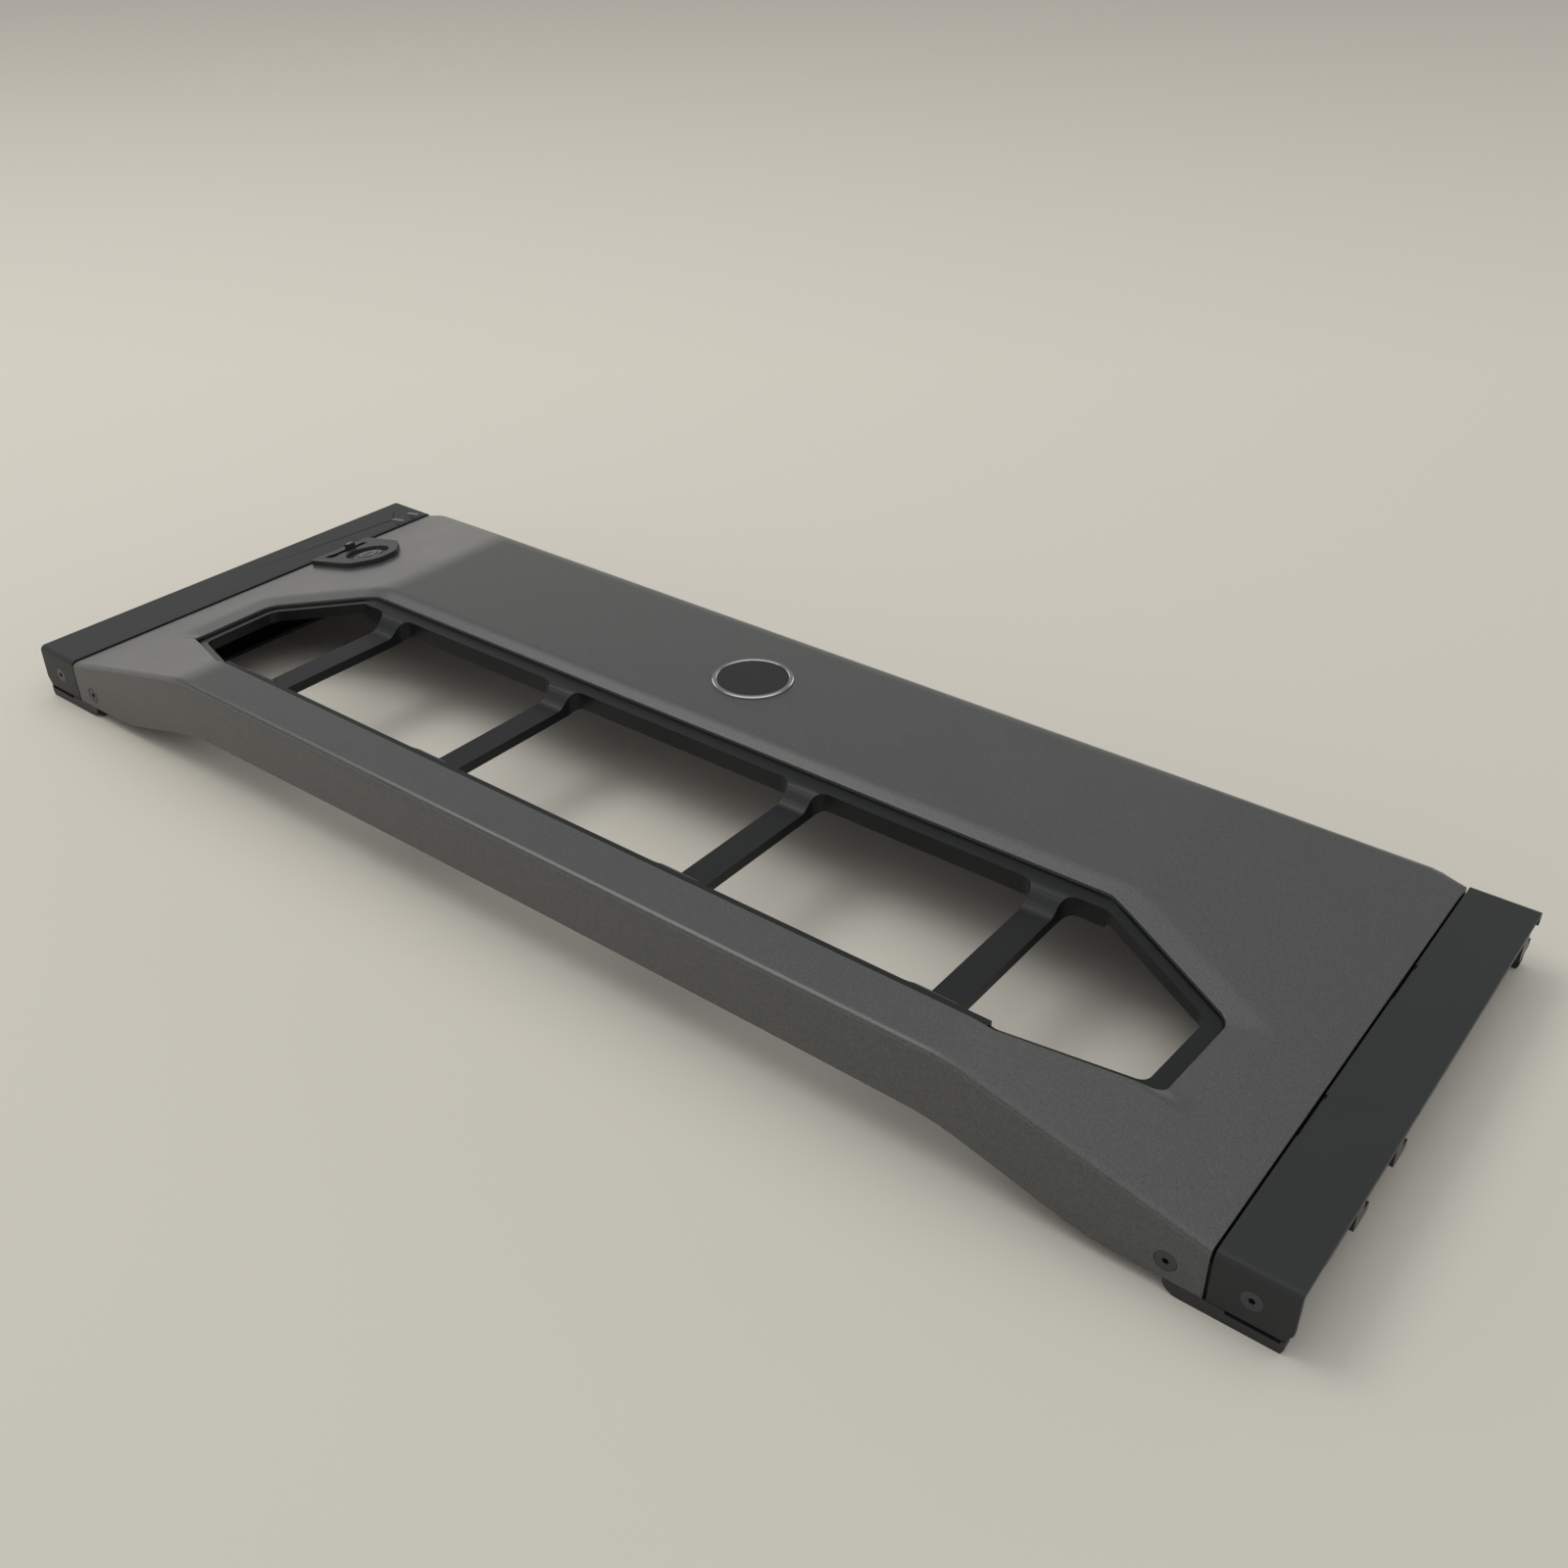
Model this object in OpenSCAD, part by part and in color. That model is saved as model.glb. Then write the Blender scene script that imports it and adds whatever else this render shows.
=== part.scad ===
// Front bezel of a 4U rack server, lying on its back.
// X runs along the bezel, Y from its lower edge to its upper edge, Z out of its face.
// The origin lies on the table, under the middle of the bezel's footprint.

/* [Overall] */
// Length over both end caps
total_w = 482.4; // [440:0.1:520]
// Height in the rack, from lower edge to upper edge
total_d = 170; // [150:0.5:200]

/* [Face panel] */
// Level of the flat face above the table
face_z = 35.9; // [33:0.1:42]
// Level of the face at the two ends of the panel
end_z = 19.2; // [18.5:0.1:20]
// Slope of the two end ramps, in degrees
ramp_angle = 13.6; // [11:0.1:18]
// Sheet thickness of the panel
sheet_t = 1.2; // [0.8:0.05:1.4]
// Distance from the end of the bezel to the end of the panel
panel_inset = 20.9; // [20.6:0.05:21.2]
// Outer radius of the bend between face and skirts
edge_r = 2; // [1.6:0.1:3]
// Outer radius of the bend between ramp and flat face
crest_r = 13; // [6:0.5:20]
// Width of the sloping strip along the upper edge
bevel_w = 22.6; // [16:0.2:28]
// Drop of the sloping strip along the upper edge
bevel_drop = 15.2; // [10:0.2:17]
// Level of the skirt's edge at the ends
skirt_end_z = 4.1; // [3.6:0.1:5]
// Level of the skirt's edge along the middle
skirt_mid_z = 15.5; // [11:0.1:17]
// Extra lift of the skirt's edge at mid length
skirt_arch = 0.9; // [0:0.1:1.5]
// Length of the deep part of the skirt at each end
skirt_deep_w = 29.1; // [24:0.1:34]
// Length over which the skirt's edge rises
skirt_rise_w = 43; // [30:1:55]

/* [Opening in the panel] */
// Lower edge of the opening, from the bezel's lower edge
rim_low = 17; // [15:0.1:20]
// Upper edge of the opening, from the bezel's lower edge
rim_high = 84; // [78:0.1:88]
// Distance from the bezel's end to the opening
rim_side = 48; // [46:0.5:56]
// Height of the lower corner cut of the opening
rim_low_cut = 15.3; // [10:0.1:20]
// Width of the lower corner cut of the opening
rim_low_run = 39.5; // [30:0.5:45]
// Height of the upper corner cut of the opening
rim_high_cut = 17; // [12:0.1:20]
// Width of the upper corner cut of the opening
rim_high_run = 43; // [34:0.5:50]
// Radius of the opening's corners
rim_r = 5; // [2:0.5:6]
// Depth of the dished border round the opening
dish_drop = 1.5; // [0.8:0.1:2]
// Width of the dished border along the upper edge
dish_high_w = 4.2; // [3:0.1:7]
// Width of the dished border at the sides
dish_side_w = 9; // [6:0.5:10]

/* [Window frame] */
// Ledge between the opening's upper edge and the windows
ledge_high_w = 5.4; // [4:0.1:8]
// Ledge between the opening's sides and the windows
ledge_side_w = 5; // [4:0.1:8]
// Ledge between the opening's lower edge and the windows
ledge_low_w = 3; // [2:0.1:4]
// Height of the frame's rails
rail_t = 3.9; // [3:0.1:4.5]
// Width of the flange hidden behind the panel
flange_w = 9; // [7:0.2:9.5]
// Width of each rib
rib_w = 9.3; // [6:0.1:12]
// Thickness of each rib
rib_t = 3.4; // [2.5:0.1:4]
// How far the ribs lie below the face
rib_drop = 7.55; // [6.5:0.05:9]
// Length of the knee that carries a rib up to its rail
knee_w = 8; // [6:0.5:12]
// Distance from the middle to the inner ribs
rib_inner_x = 50.2; // [40:0.1:60]
// Distance from the bezel's end to the outer ribs
rib_outer_inset = 106.9; // [100:0.1:120]
// Radius of the window corners
window_r = 4; // [1:0.5:5]

/* [End caps] */
// Gap between the panel and the left end cap
left_gap = 0.5; // [0.3:0.1:0.9]
// Gap between the panel and the right end cap
right_gap = 0.9; // [0.5:0.1:1.3]
// Level of the end caps' top
cap_z = 19.7; // [19:0.1:22]
// Wall thickness of the end caps
cap_t = 1.5; // [1.2:0.1:1.8]
// Level of the end caps' lower edge
cap_low_z = 4.2; // [3.8:0.1:5]
// Length of the two notches along the right cap
notch_len = 17.5; // [10:0.5:20]
// Depth of the notches along the right cap
notch_depth = 0.6; // [0.3:0.1:1]
// Lower notch, from the bezel's lower edge
notch_low_y = 53; // [46:0.5:60]
// Upper notch, from the bezel's lower edge
notch_high_y = 115.4; // [106:0.5:124]

/* [Base rails] */
// Sheet thickness of the base rails
rail_sheet = 1.5; // [1.2:0.1:1.8]
// Width of the base rails' floor
rail_floor_w = 11.8; // [11:0.1:14]
// Thickness of the flanges at the base rails' ends
end_flange_t = 2.1; // [1.8:0.1:3]
// Reach of the foot inward, from the rail's web
foot_in = 11.8; // [10:0.1:13]
// Reach of the foot outward, from the rail's web
foot_out = 17.4; // [14:0.1:18]
// Height of the long slot above the foot
foot_slot_h = 1; // [0.6:0.1:1.4]

/* [Screws] */
// Diameter of the countersunk heads
csk_head_d = 5.5; // [5:0.1:6]
// Diameter of the countersunk screws
csk_d = 3; // [2.5:0.1:3.2]
// Length of the countersunk screws
csk_len = 6; // [5:0.5:8]
// Distance from the bezel's end to the cap screws
cap_screw_x = 10.2; // [9:0.1:12]
// Level of the cap screws
cap_screw_z = 11; // [9:0.1:12]
// Distance from the bezel's end to the panel screws
panel_screw_x = 30.5; // [29:0.1:31.5]
// Level of the panel screws
panel_screw_z = 9.45; // [8.5:0.05:10.5]

/* [Badge] */
// Outer diameter of the badge ring
badge_d = 27; // [22:0.1:32]
// Width of the badge ring's face
badge_rim_w = 1.45; // [1:0.05:2.5]
// Height of the badge ring above the face
badge_h = 0.9; // [0.7:0.05:1.5]
// Badge centre, from the bezel's lower edge
badge_y = 116.3; // [108:0.1:124]

/* [Key lock] */
// Lock centre, from the bezel's left end
lock_x = 44; // [42:0.1:47]
// Lock centre, from the bezel's lower edge
lock_y = 117.5; // [108:0.1:124]
// Height of the lock plate above the ramp
plate_h = 2; // [1.6:0.1:2.5]
// Depth of the oval recess in the lock plate
recess_depth = 1.4; // [0.8:0.1:1.5]
// Length of the oval recess
recess_l = 19.4; // [15:0.1:20]
// Width of the oval recess
recess_w = 16; // [14:0.1:17]
// Diameter of the lock plug
plug_d = 7.6; // [6:0.1:8]
// Outer diameter of the lock's threaded body
body_d = 10; // [9.6:0.1:10.6]
// Depth of the lock's body behind the plate
body_l = 12.5; // [10:0.1:14]
// Turn of the key between locked and open
key_turn = 90; // [45:5:90]

/* [Release latch] */
// Travel of the release slider
latch_travel = 5; // [3:0.1:5.5]
// Length of the slot in the lock plate
slot_l = 19; // [17:0.1:20]
// Width of the slot in the lock plate
slot_w = 3.4; // [3:0.1:4]
// Height of the finger nub above the ramp
nub_h = 4.3; // [3.5:0.1:6]
// Thickness of the latch bar
bar_t = 1.5; // [1.2:0.1:1.8]
// Height of the latch bar
bar_h = 9; // [8:0.1:10]
// Reach of the latch hooks past the rail's web
hook_reach = 6; // [4:0.1:8]
// Wire diameter of the return spring
wire_d = 0.5; // [0.4:0.05:0.8]
// Coil diameter of the return spring, over the wire
coil_d = 4.4; // [3.6:0.1:5]
// Number of turns of the return spring
spring_turns = 8; // [6:1:10]

/* [Right-end hooks] */
// Drop of the hooks below the cap's top
hook_drop = 9.5; // [8:0.1:12]
// Thickness of the hook plate
hook_t = 1.6; // [1.2:0.1:2]
// Length of a hook's stem
hook_stem = 5; // [4:0.1:7]
// Length of a hook's nose
hook_nose = 4; // [2:0.1:4.5]

/* [Hidden] */
$fn = 48;

far = 1000;            // Longer than the whole bezel, for cuts that run right through
over = 1;              // Overlap of a cut past the face it opens
fit = 0.1;             // Clearance of a fixed fit
slide = 0.3;           // Clearance of a sliding fit
arc_steps = 5;         // Facets of a small rounded corner

half_w = total_w / 2;
half_d = total_d / 2;
panel_end = half_w - panel_inset;
crest_x = panel_end - (face_z - end_z) / tan(ramp_angle);
left_cap_w = panel_inset - left_gap;
right_cap_w = panel_inset - right_gap;
rib_outer_x = half_w - rib_outer_inset;
bevel_angle = atan(bevel_drop / bevel_w);
bevel_end_z = face_z - bevel_drop;

// Level of a ramp's face at a distance x from the middle
function ramp_z(x) = face_z - (x - crest_x) * tan(ramp_angle);
// A place in Y, from the distance to the bezel's lower edge
function up(d) = d - half_d;

// ---- Outlines ----

function unit(v) = v / norm(v);
function arc(c, r, a, turn, n) =
    [for (i = [0:n]) c + r * [cos(a + turn * i / n), sin(a + turn * i / n)]];
// The short way round from angle a to angle b
function turn_to(a, b) = (b - a + 900) % 360 - 180;
// Rounded corner at q, between the neighbours p and s
function corner(p, q, s, r, n) =
    let (u = unit(p - q), v = unit(s - q), half = acos(u * v) / 2,
         c = q + unit(u + v) * r / sin(half), reach = r / tan(half),
         a = q + u * reach - c, b = q + v * reach - c,
         from = atan2(a[1], a[0]), to = atan2(b[1], b[0]))
    arc(c, r, from, turn_to(from, to), n);
function xy(p) = [p[0], p[1]];
// Outline whose points are [x, y, corner radius]
function rounded(pts, n = arc_steps) = [
    for (i = [0:len(pts) - 1])
        let (q = pts[i], p = pts[(i + len(pts) - 1) % len(pts)], s = pts[(i + 1) % len(pts)])
        each (q[2] > 0 ? corner(xy(p), xy(q), xy(s), q[2], n) : [xy(q)])
];
// Smooth step from point a to point b
function s_bend(a, b, n = 8) =
    [for (i = [0:n]) let (t = i / n) [a[0] + (b[0] - a[0]) * t,
                                     a[1] + (b[1] - a[1]) * (3 - 2 * t) * t * t]];
// A point, with or without a corner radius, on the other side of the middle
function flip(p) = len(p) == 3 ? [-p[0], p[1], p[2]] : [-p[0], p[1]];
// The outline of a right half, with its mirror image
function both_sides(half) = concat(half, [for (i = [len(half) - 1:-1:0]) flip(half[i])]);

module along_x(from, to) {
    translate([from, 0, 0]) rotate([90, 0, 90]) linear_extrude(to - from) children();
}
module along_y(from, to) {
    translate([0, to, 0]) rotate([90, 0, 0]) linear_extrude(to - from) children();
}
// A round-ended outline that runs from the origin along -x
module long_hole(d, run) {
    circle(d = d);
    translate([-run, 0]) circle(d = d);
    translate([-run, -d / 2]) square([run, d]);
}
module mirrored(axis) {
    children();
    mirror(axis) children();
}
// Children drawn on the left ramp, x up the slope and z square to it
module on_left_ramp(x, y) {
    translate([x - half_w, up(y), ramp_z(half_w - x)]) rotate([0, -ramp_angle, 0]) children();
}

// ---- Face panel ----

// Section across the bezel, with the sheet's faces moved in by d
function panel_section(d) = rounded([
    [-half_d + d, -over, 0],
    [-half_d + d, face_z - d, edge_r - d],
    [half_d - bevel_w - d * tan(bevel_angle / 2), face_z - d, edge_r - d],
    [half_d - d, bevel_end_z - d * tan(45 - bevel_angle / 2), edge_r - d],
    [half_d - d, -over, 0]
]);
// Section along the bezel, run out to a distance x from the middle
function panel_arch(d, x) = let (crest = crest_x - d * tan(ramp_angle / 2)) rounded([
    [-x, -over, 0],
    [-x, ramp_z(x) - d / cos(ramp_angle), 0],
    [-crest, face_z - d, crest_r - d],
    [crest, face_z - d, crest_r - d],
    [x, ramp_z(x) - d / cos(ramp_angle), 0],
    [x, -over, 0]
]);
// Everything under the right ramp, with the bend along its lower edge
module under_ramp(d) {
    translate([crest_x, 0, face_z]) rotate([0, ramp_angle, 0]) along_x(-far, far)
        polygon(rounded([
            [-half_d + d, -far, 0],
            [-half_d + d, -d, edge_r - d],
            [half_d - d, -d, edge_r - d],
            [half_d - d, -far, 0]
        ]));
}
module panel_block(d, x) {
    intersection() {
        along_x(-x, x) polygon(panel_section(d));
        along_y(-half_d, half_d) polygon(panel_arch(d, x));
        under_ramp(d);
        mirror([1, 0, 0]) under_ramp(d);
    }
}

// The opening in the panel, right half, from its lower edge to its upper edge
rim_x = half_w - rim_side;
rim_half = [
    [rim_x - rim_low_run, up(rim_low), rim_r],
    [rim_x - 1.5, up(rim_low + rim_low_cut), rim_r],
    [rim_x, up(rim_high - rim_high_cut), rim_r],
    [rim_x - rim_high_run, up(rim_high), rim_r]
];
module rim_outline() polygon(rounded(both_sides(rim_half)));

// The dished border, as the hollow between its outline on the face and the opening's rim
module dish_flat() {
    hull() {
        translate([-crest_x - over, up(rim_low) + rim_low_cut, face_z])
            cube([2 * (crest_x + over), up(rim_high) + dish_high_w - up(rim_low) - rim_low_cut, over]);
        translate([-crest_x - over, up(rim_low) + rim_low_cut, face_z - dish_drop])
            cube([2 * (crest_x + over), rim_high - rim_low - rim_low_cut, over]);
    }
}
// On the right ramp, x runs down the slope from the crest
module dish_ramp() {
    stretch = 1 / cos(ramp_angle);
    side = (rim_x - crest_x) * stretch;
    high = up(rim_high);
    low = up(rim_low + rim_low_cut);
    high_side = high - rim_high_cut;
    translate([crest_x, 0, face_z]) rotate([0, ramp_angle, 0]) hull() {
        linear_extrude(3 * over) polygon([
            [-over, low], [-over, high + dish_high_w], [10 * stretch, high + dish_high_w * 0.8],
            [side + dish_side_w * 0.4, high_side + dish_high_w], [side + dish_side_w, high_side - 2],
            [side + dish_side_w * 0.7, low + 2], [side - 2, low]
        ]);
        translate([0, 0, -dish_drop]) linear_extrude(over) polygon([
            [-over, low + 2], [-over, high], [side - rim_high_run * 0.9, high],
            [side, high_side], [side - 1.5, low + 2]
        ]);
    }
}
module dish(d) {
    translate([0, 0, -d]) {
        dish_flat();
        mirrored([1, 0, 0]) dish_ramp();
    }
}

// Everything below the skirts' lower edges
skirt_low_x = panel_end - skirt_deep_w;
skirt_high_x = skirt_low_x - skirt_rise_w;
module below_skirts() {
    steps = 8;
    along_y(-half_d - over, half_d + over) polygon(both_sides(concat(
        [for (i = [0:steps]) let (x = skirt_high_x * i / steps)
            [x, skirt_mid_z + skirt_arch * (1 - pow(x / skirt_high_x, 2))]],
        [[skirt_low_x, skirt_end_z], [panel_end + over, skirt_end_z], [panel_end + over, -2 * over]]
    )));
}

// Bosses behind the panel carry the window frame
boss_d = 5;
boss_high_y = rim_high + dish_high_w + 3.2;
boss_low_y = rim_low - flange_w + boss_d / 2 + 1.2;
boss_x = [-rib_outer_x, -rib_inner_x, rib_inner_x, rib_outer_x];
frame_screw_d = 2.4;
module at_bosses() {
    for (x = boss_x, y = [boss_low_y, boss_high_y]) translate([x, up(y), 0]) children();
}

// Countersunk screws through the near and far walls: one quarter, then all four
module at_wall_screws(x, z) {
    mirrored([1, 0, 0]) mirrored([0, 1, 0])
        translate([half_w - x, -half_d, z]) rotate([-90, 0, 0]) children();
}
module csk_hole(t) {
    translate([0, 0, -over]) cylinder(d = csk_d + 2 * fit, h = t + 2 * over);
    rotate_extrude() polygon([
        [0, -over], [csk_head_d / 2 + fit, -over], [csk_head_d / 2 + fit, 0],
        [csk_d / 2 + fit, (csk_head_d - csk_d) / 2], [0, (csk_head_d - csk_d) / 2]
    ]);
}
module csk_screw() {
    difference() {
        rotate_extrude() polygon([
            [0, 0.05], [csk_head_d / 2 - 0.05, 0.05], [csk_head_d / 2 - 0.05, 0.15],
            [csk_d / 2, (csk_head_d - csk_d) / 2 + 0.05], [csk_d / 2, csk_len - 0.4],
            [csk_d / 2 - 0.4, csk_len], [0, csk_len]
        ]);
        star_socket(1.9, 1.1);
    }
}
// Six-lobed socket in a screw's head
module star_socket(d, depth) {
    translate([0, 0, -over]) linear_extrude(over + depth) {
        circle(d = d * 0.74, $fn = 24);
        for (a = [0:60:300]) rotate(a) translate([d * 0.36, 0]) circle(d = d * 0.28, $fn = 16);
    }
}

module front_panel() {
    color([0.36, 0.36, 0.35]) difference() {
        union() {
            difference() {
                difference() {
                    panel_block(0, panel_end);
                    dish(0);
                }
                difference() {
                    panel_block(sheet_t, panel_end + over);
                    dish(sheet_t);
                }
            }
            at_bosses() translate([0, 0, boss_seat_z]) cylinder(d = boss_d, h = face_z - sheet_t - boss_seat_z);
        }
        translate([0, 0, -over]) linear_extrude(far) rim_outline();
        below_skirts();
        at_bosses() translate([0, 0, boss_seat_z - over])
            cylinder(d = frame_screw_d + fit, h = frame_screw_l + over);
        at_wall_screws(panel_screw_x, panel_screw_z) csk_hole(sheet_t);
        translate([0, up(badge_y), face_z]) at_badge_pins()
            translate([0, 0, -sheet_t - over]) cylinder(d = badge_pin_d + 2 * fit, h = sheet_t + 2 * over);
        on_left_ramp(lock_x, lock_y) translate([0, 0, -5]) linear_extrude(10) lock_cut_outline(fit);
        on_left_ramp(lock_x, lock_y) at_plate_screws() translate([0, 0, -5])
            cylinder(d = plate_screw_d + 4 * fit, h = 10);
    }
}

// ---- Window frame ----

ledge_z = face_z - dish_drop - sheet_t - fit;
low_rail_z = face_z - sheet_t - fit;
rib_top_z = face_z - rib_drop;
boss_seat_z = ledge_z - rail_t;
frame_screw_l = 3.6;
window_high = up(rim_high - ledge_high_w);
window_low = up(rim_low + ledge_low_w);
flange_high = up(rim_high + flange_w + 3);
flange_low = up(rim_low - flange_w);
flange_x = rim_x + flange_w;

// Section across the frame where it lies under the flat face: rails, and the rib between them
module frame_section() {
    polygon(concat(
        [[flange_low, ledge_z - rail_t], [flange_low, low_rail_z], [window_low, low_rail_z]],
        s_bend([window_low, low_rail_z], [window_low + knee_w * 0.8, rib_top_z]),
        s_bend([window_high - knee_w, rib_top_z], [window_high, ledge_z]),
        [[flange_high, ledge_z], [flange_high, ledge_z - rail_t]],
        s_bend([window_high + rail_t, ledge_z - rail_t], [window_high - knee_w + rail_t, rib_top_z - rib_t]),
        s_bend([window_low + knee_w * 0.5, rib_top_z - rib_t], [window_low - rail_t, ledge_z - rail_t])
    ));
}
module frame_ramp() {
    intersection() {
        translate([crest_x, 0, face_z]) rotate([0, ramp_angle, 0])
            translate([-over, -half_d, -dish_drop - sheet_t - fit - rail_t])
                cube([far, total_d, rail_t]);
        translate([crest_x - 0.01, -half_d, 0]) cube([far, total_d, far]);
        linear_extrude(far) frame_outline();
    }
}
module frame_outline() {
    polygon(rounded(both_sides([
        [rim_x - rim_low_run + 1, flange_low, rim_r],
        [flange_x - 4, up(rim_low + rim_low_cut) - flange_w * 0.6, rim_r],
        [flange_x, up(rim_high - rim_high_cut) + flange_w * 0.5, rim_r],
        [rim_x - rim_high_run + flange_w * 0.4, flange_high, rim_r]
    ])));
}
// Half of the area that all the windows share, as a right half outline
window_x = rim_x - ledge_side_w;
window_half = [
    [rim_x - rim_low_run - 1, window_low, window_r],
    [window_x - 1.5, up(rim_low + rim_low_cut) + ledge_low_w * 0.6, window_r],
    [window_x, up(rim_high - rim_high_cut) - ledge_high_w * 0.5, window_r],
    [rim_x - rim_high_run + ledge_side_w * 0.4, window_high, window_r]
];
// A window between two ribs, from x = a to x = b
module mid_window(a, b) {
    polygon(rounded([[a, window_low, window_r], [b, window_low, window_r],
                     [b, window_high, window_r], [a, window_high, window_r]]));
}
module end_window() {
    a = rib_outer_x + rib_w / 2;
    polygon(rounded(concat([[a, window_low, window_r]], window_half, [[a, window_high, window_r]])));
}
module window_frame() {
    color([0.16, 0.17, 0.18]) difference() {
        union() {
            intersection() {
                along_x(-crest_x, crest_x) frame_section();
                linear_extrude(far) frame_outline();
            }
            mirrored([1, 0, 0]) frame_ramp();
        }
        translate([0, 0, -over]) linear_extrude(far) {
            mid_window(-rib_inner_x + rib_w / 2, rib_inner_x - rib_w / 2);
            mirrored([1, 0, 0]) {
                mid_window(rib_inner_x + rib_w / 2, rib_outer_x - rib_w / 2);
                end_window();
            }
        }
        at_bosses() cylinder(d = boss_d + 2 * fit, h = far);
    }
}
module pan_screw(d, head_d, head_h, len) {
    difference() {
        union() {
            translate([0, 0, -head_h]) cylinder(d = head_d, h = head_h);
            cylinder(d = d, h = len);
        }
        translate([0, 0, -head_h]) star_socket(head_d * 0.5, head_h * 0.6);
    }
}
module frame_screws() {
    color([0.55, 0.56, 0.58]) at_bosses() translate([0, 0, boss_seat_z])
        pan_screw(frame_screw_d, boss_d + 2.4, 1.4, frame_screw_l - 0.4);
}

// ---- End caps ----

// A cap for the right end: a plate with a wall at each edge, open along its outer side
module cap_shell(w) {
    inner = half_w - w;
    difference() {
        along_x(inner, half_w) polygon(rounded([
            [-half_d, cap_low_z, 0], [-half_d, cap_z, edge_r],
            [half_d, cap_z, edge_r], [half_d, cap_low_z, 0]
        ]));
        along_x(inner - over, half_w + over) polygon(rounded([
            [-half_d + cap_t, -over, 0], [-half_d + cap_t, cap_z - cap_t, edge_r - cap_t],
            [half_d - cap_t, cap_z - cap_t, edge_r - cap_t], [half_d - cap_t, -over, 0]
        ]));
        along_y(-half_d - over, 0) polygon([
            [half_w - 1.8, cap_low_z - over], [half_w - 1.8, cap_low_z],
            [half_w, cap_low_z + 3], [half_w + over, cap_low_z + 3], [half_w + over, cap_low_z - over]
        ]);
        along_y(0, half_d + over) polygon([
            [half_w - 7, cap_low_z - over], [half_w - 7, cap_low_z], [half_w - 0.6, cap_z - 4.6],
            [half_w + over, cap_z - 4.6], [half_w + over, cap_low_z - over]
        ]);
    }
}
module right_end_cap() {
    color([0.2, 0.215, 0.22]) difference() {
        union() {
            cap_shell(right_cap_w);
            at_hook_stakes() {
                translate([0, 0, cap_z - cap_t - hook_t - fit]) cylinder(d = stake_d, h = hook_t + 2 * fit);
                translate([0, 0, cap_z - cap_t - hook_t - fit - 1]) cylinder(d = stake_d + 2, h = 1);
            }
        }
        for (y = [notch_low_y, notch_high_y])
            translate([half_w - right_cap_w - over, up(y) - notch_len / 2, cap_z - cap_t - over])
                cube([notch_depth + over, notch_len, cap_t + 2 * over]);
        at_wall_screws(cap_screw_x, cap_screw_z) csk_hole(cap_t);
    }
}
lens_l = 5.6;
lens_w = 1.9;
lens_x = 15.5;
lens_y = [total_d - 13.5, total_d - 5.3];
module at_lenses() {
    for (y = lens_y) translate([lens_x - half_w, up(y), 0]) children();
}
module lens_outline(d) {
    rotate(20) translate([(lens_l - lens_w) / 2, 0]) long_hole(lens_w + 2 * d, lens_l - lens_w);
}
module left_end_cap() {
    color([0.2, 0.215, 0.22]) difference() {
        mirror([1, 0, 0]) cap_shell(left_cap_w);
        at_lenses() translate([0, 0, cap_z - cap_t - over]) linear_extrude(cap_t + 2 * over) lens_outline(fit);
        at_lenses() translate([3.7, -3, cap_z - cap_t - over]) cylinder(d = 1.1, h = cap_t + 2 * over);
        at_wall_screws(cap_screw_x, cap_screw_z) csk_hole(cap_t);
    }
}
module indicator_lenses() {
    color([0.75, 0.78, 0.78]) at_lenses() {
        translate([0, 0, cap_z - cap_t]) linear_extrude(cap_t + 0.15) lens_outline(0);
        translate([0, 0, cap_z - cap_t - 1.2]) linear_extrude(1.2) lens_outline(0.5);
    }
}
module cap_screws() {
    color([0.25, 0.26, 0.27]) at_wall_screws(cap_screw_x, cap_screw_z) csk_screw();
}
module panel_screws() {
    color([0.3, 0.31, 0.33]) at_wall_screws(panel_screw_x, panel_screw_z) csk_screw();
}

// ---- Base rails ----

web_in = panel_end + 0.6;
web_out = web_in + rail_sheet;
flange_y = half_d - cap_t - fit;
// The sheet-metal foot that shows under the lower skirt
module foot_outline() {
    tip = web_out - foot_in;
    end = web_out + foot_out;
    top = skirt_end_z - 0.15;
    polygon(concat(
        [for (i = [0:6]) let (a = 90 * i / 6) [tip + 4.6 * (1 - cos(a)), top * (1 - sin(a))]],
        [[end - 0.6, 0], [end, 1.2], [end, top], [end - 1, top], [end - 1, top - foot_slot_h],
         [web_out + 3.4, top - foot_slot_h], [web_out + 3.4, top]]
    ));
}
module base_rail() {
    difference() {
        union() {
            translate([web_out - rail_floor_w, -flange_y, 0]) cube([rail_floor_w, 2 * flange_y, rail_sheet]);
            translate([web_in, -flange_y, 0])
                cube([rail_sheet, 2 * flange_y, cap_z - cap_t - fit]);
            mirrored([0, 1, 0]) {
                along_y(-half_d, -flange_y + end_flange_t) foot_outline();
                along_y(-flange_y, -flange_y + end_flange_t) polygon(rounded([
                    [web_out - foot_in + 2, 1, 0], [web_out + foot_out - 2, 1, 0],
                    [web_out + foot_out - 2, cap_screw_z + 4, 2], [web_out - foot_in + 2, panel_screw_z + 4, 2]
                ]));
            }
        }
        for (y = [-1, 1]) {
            translate([half_w - cap_screw_x, y * half_d, cap_screw_z]) rotate([90, 0, 0])
                cylinder(d = csk_d + fit, h = 4 * end_flange_t, center = true);
            translate([half_w - panel_screw_x, y * half_d, panel_screw_z]) rotate([90, 0, 0])
                cylinder(d = csk_d + fit, h = 4 * end_flange_t, center = true);
        }
    }
}
module right_base_rail() {
    color([0.17, 0.175, 0.18]) base_rail();
}

// ---- Right-end hooks ----

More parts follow.
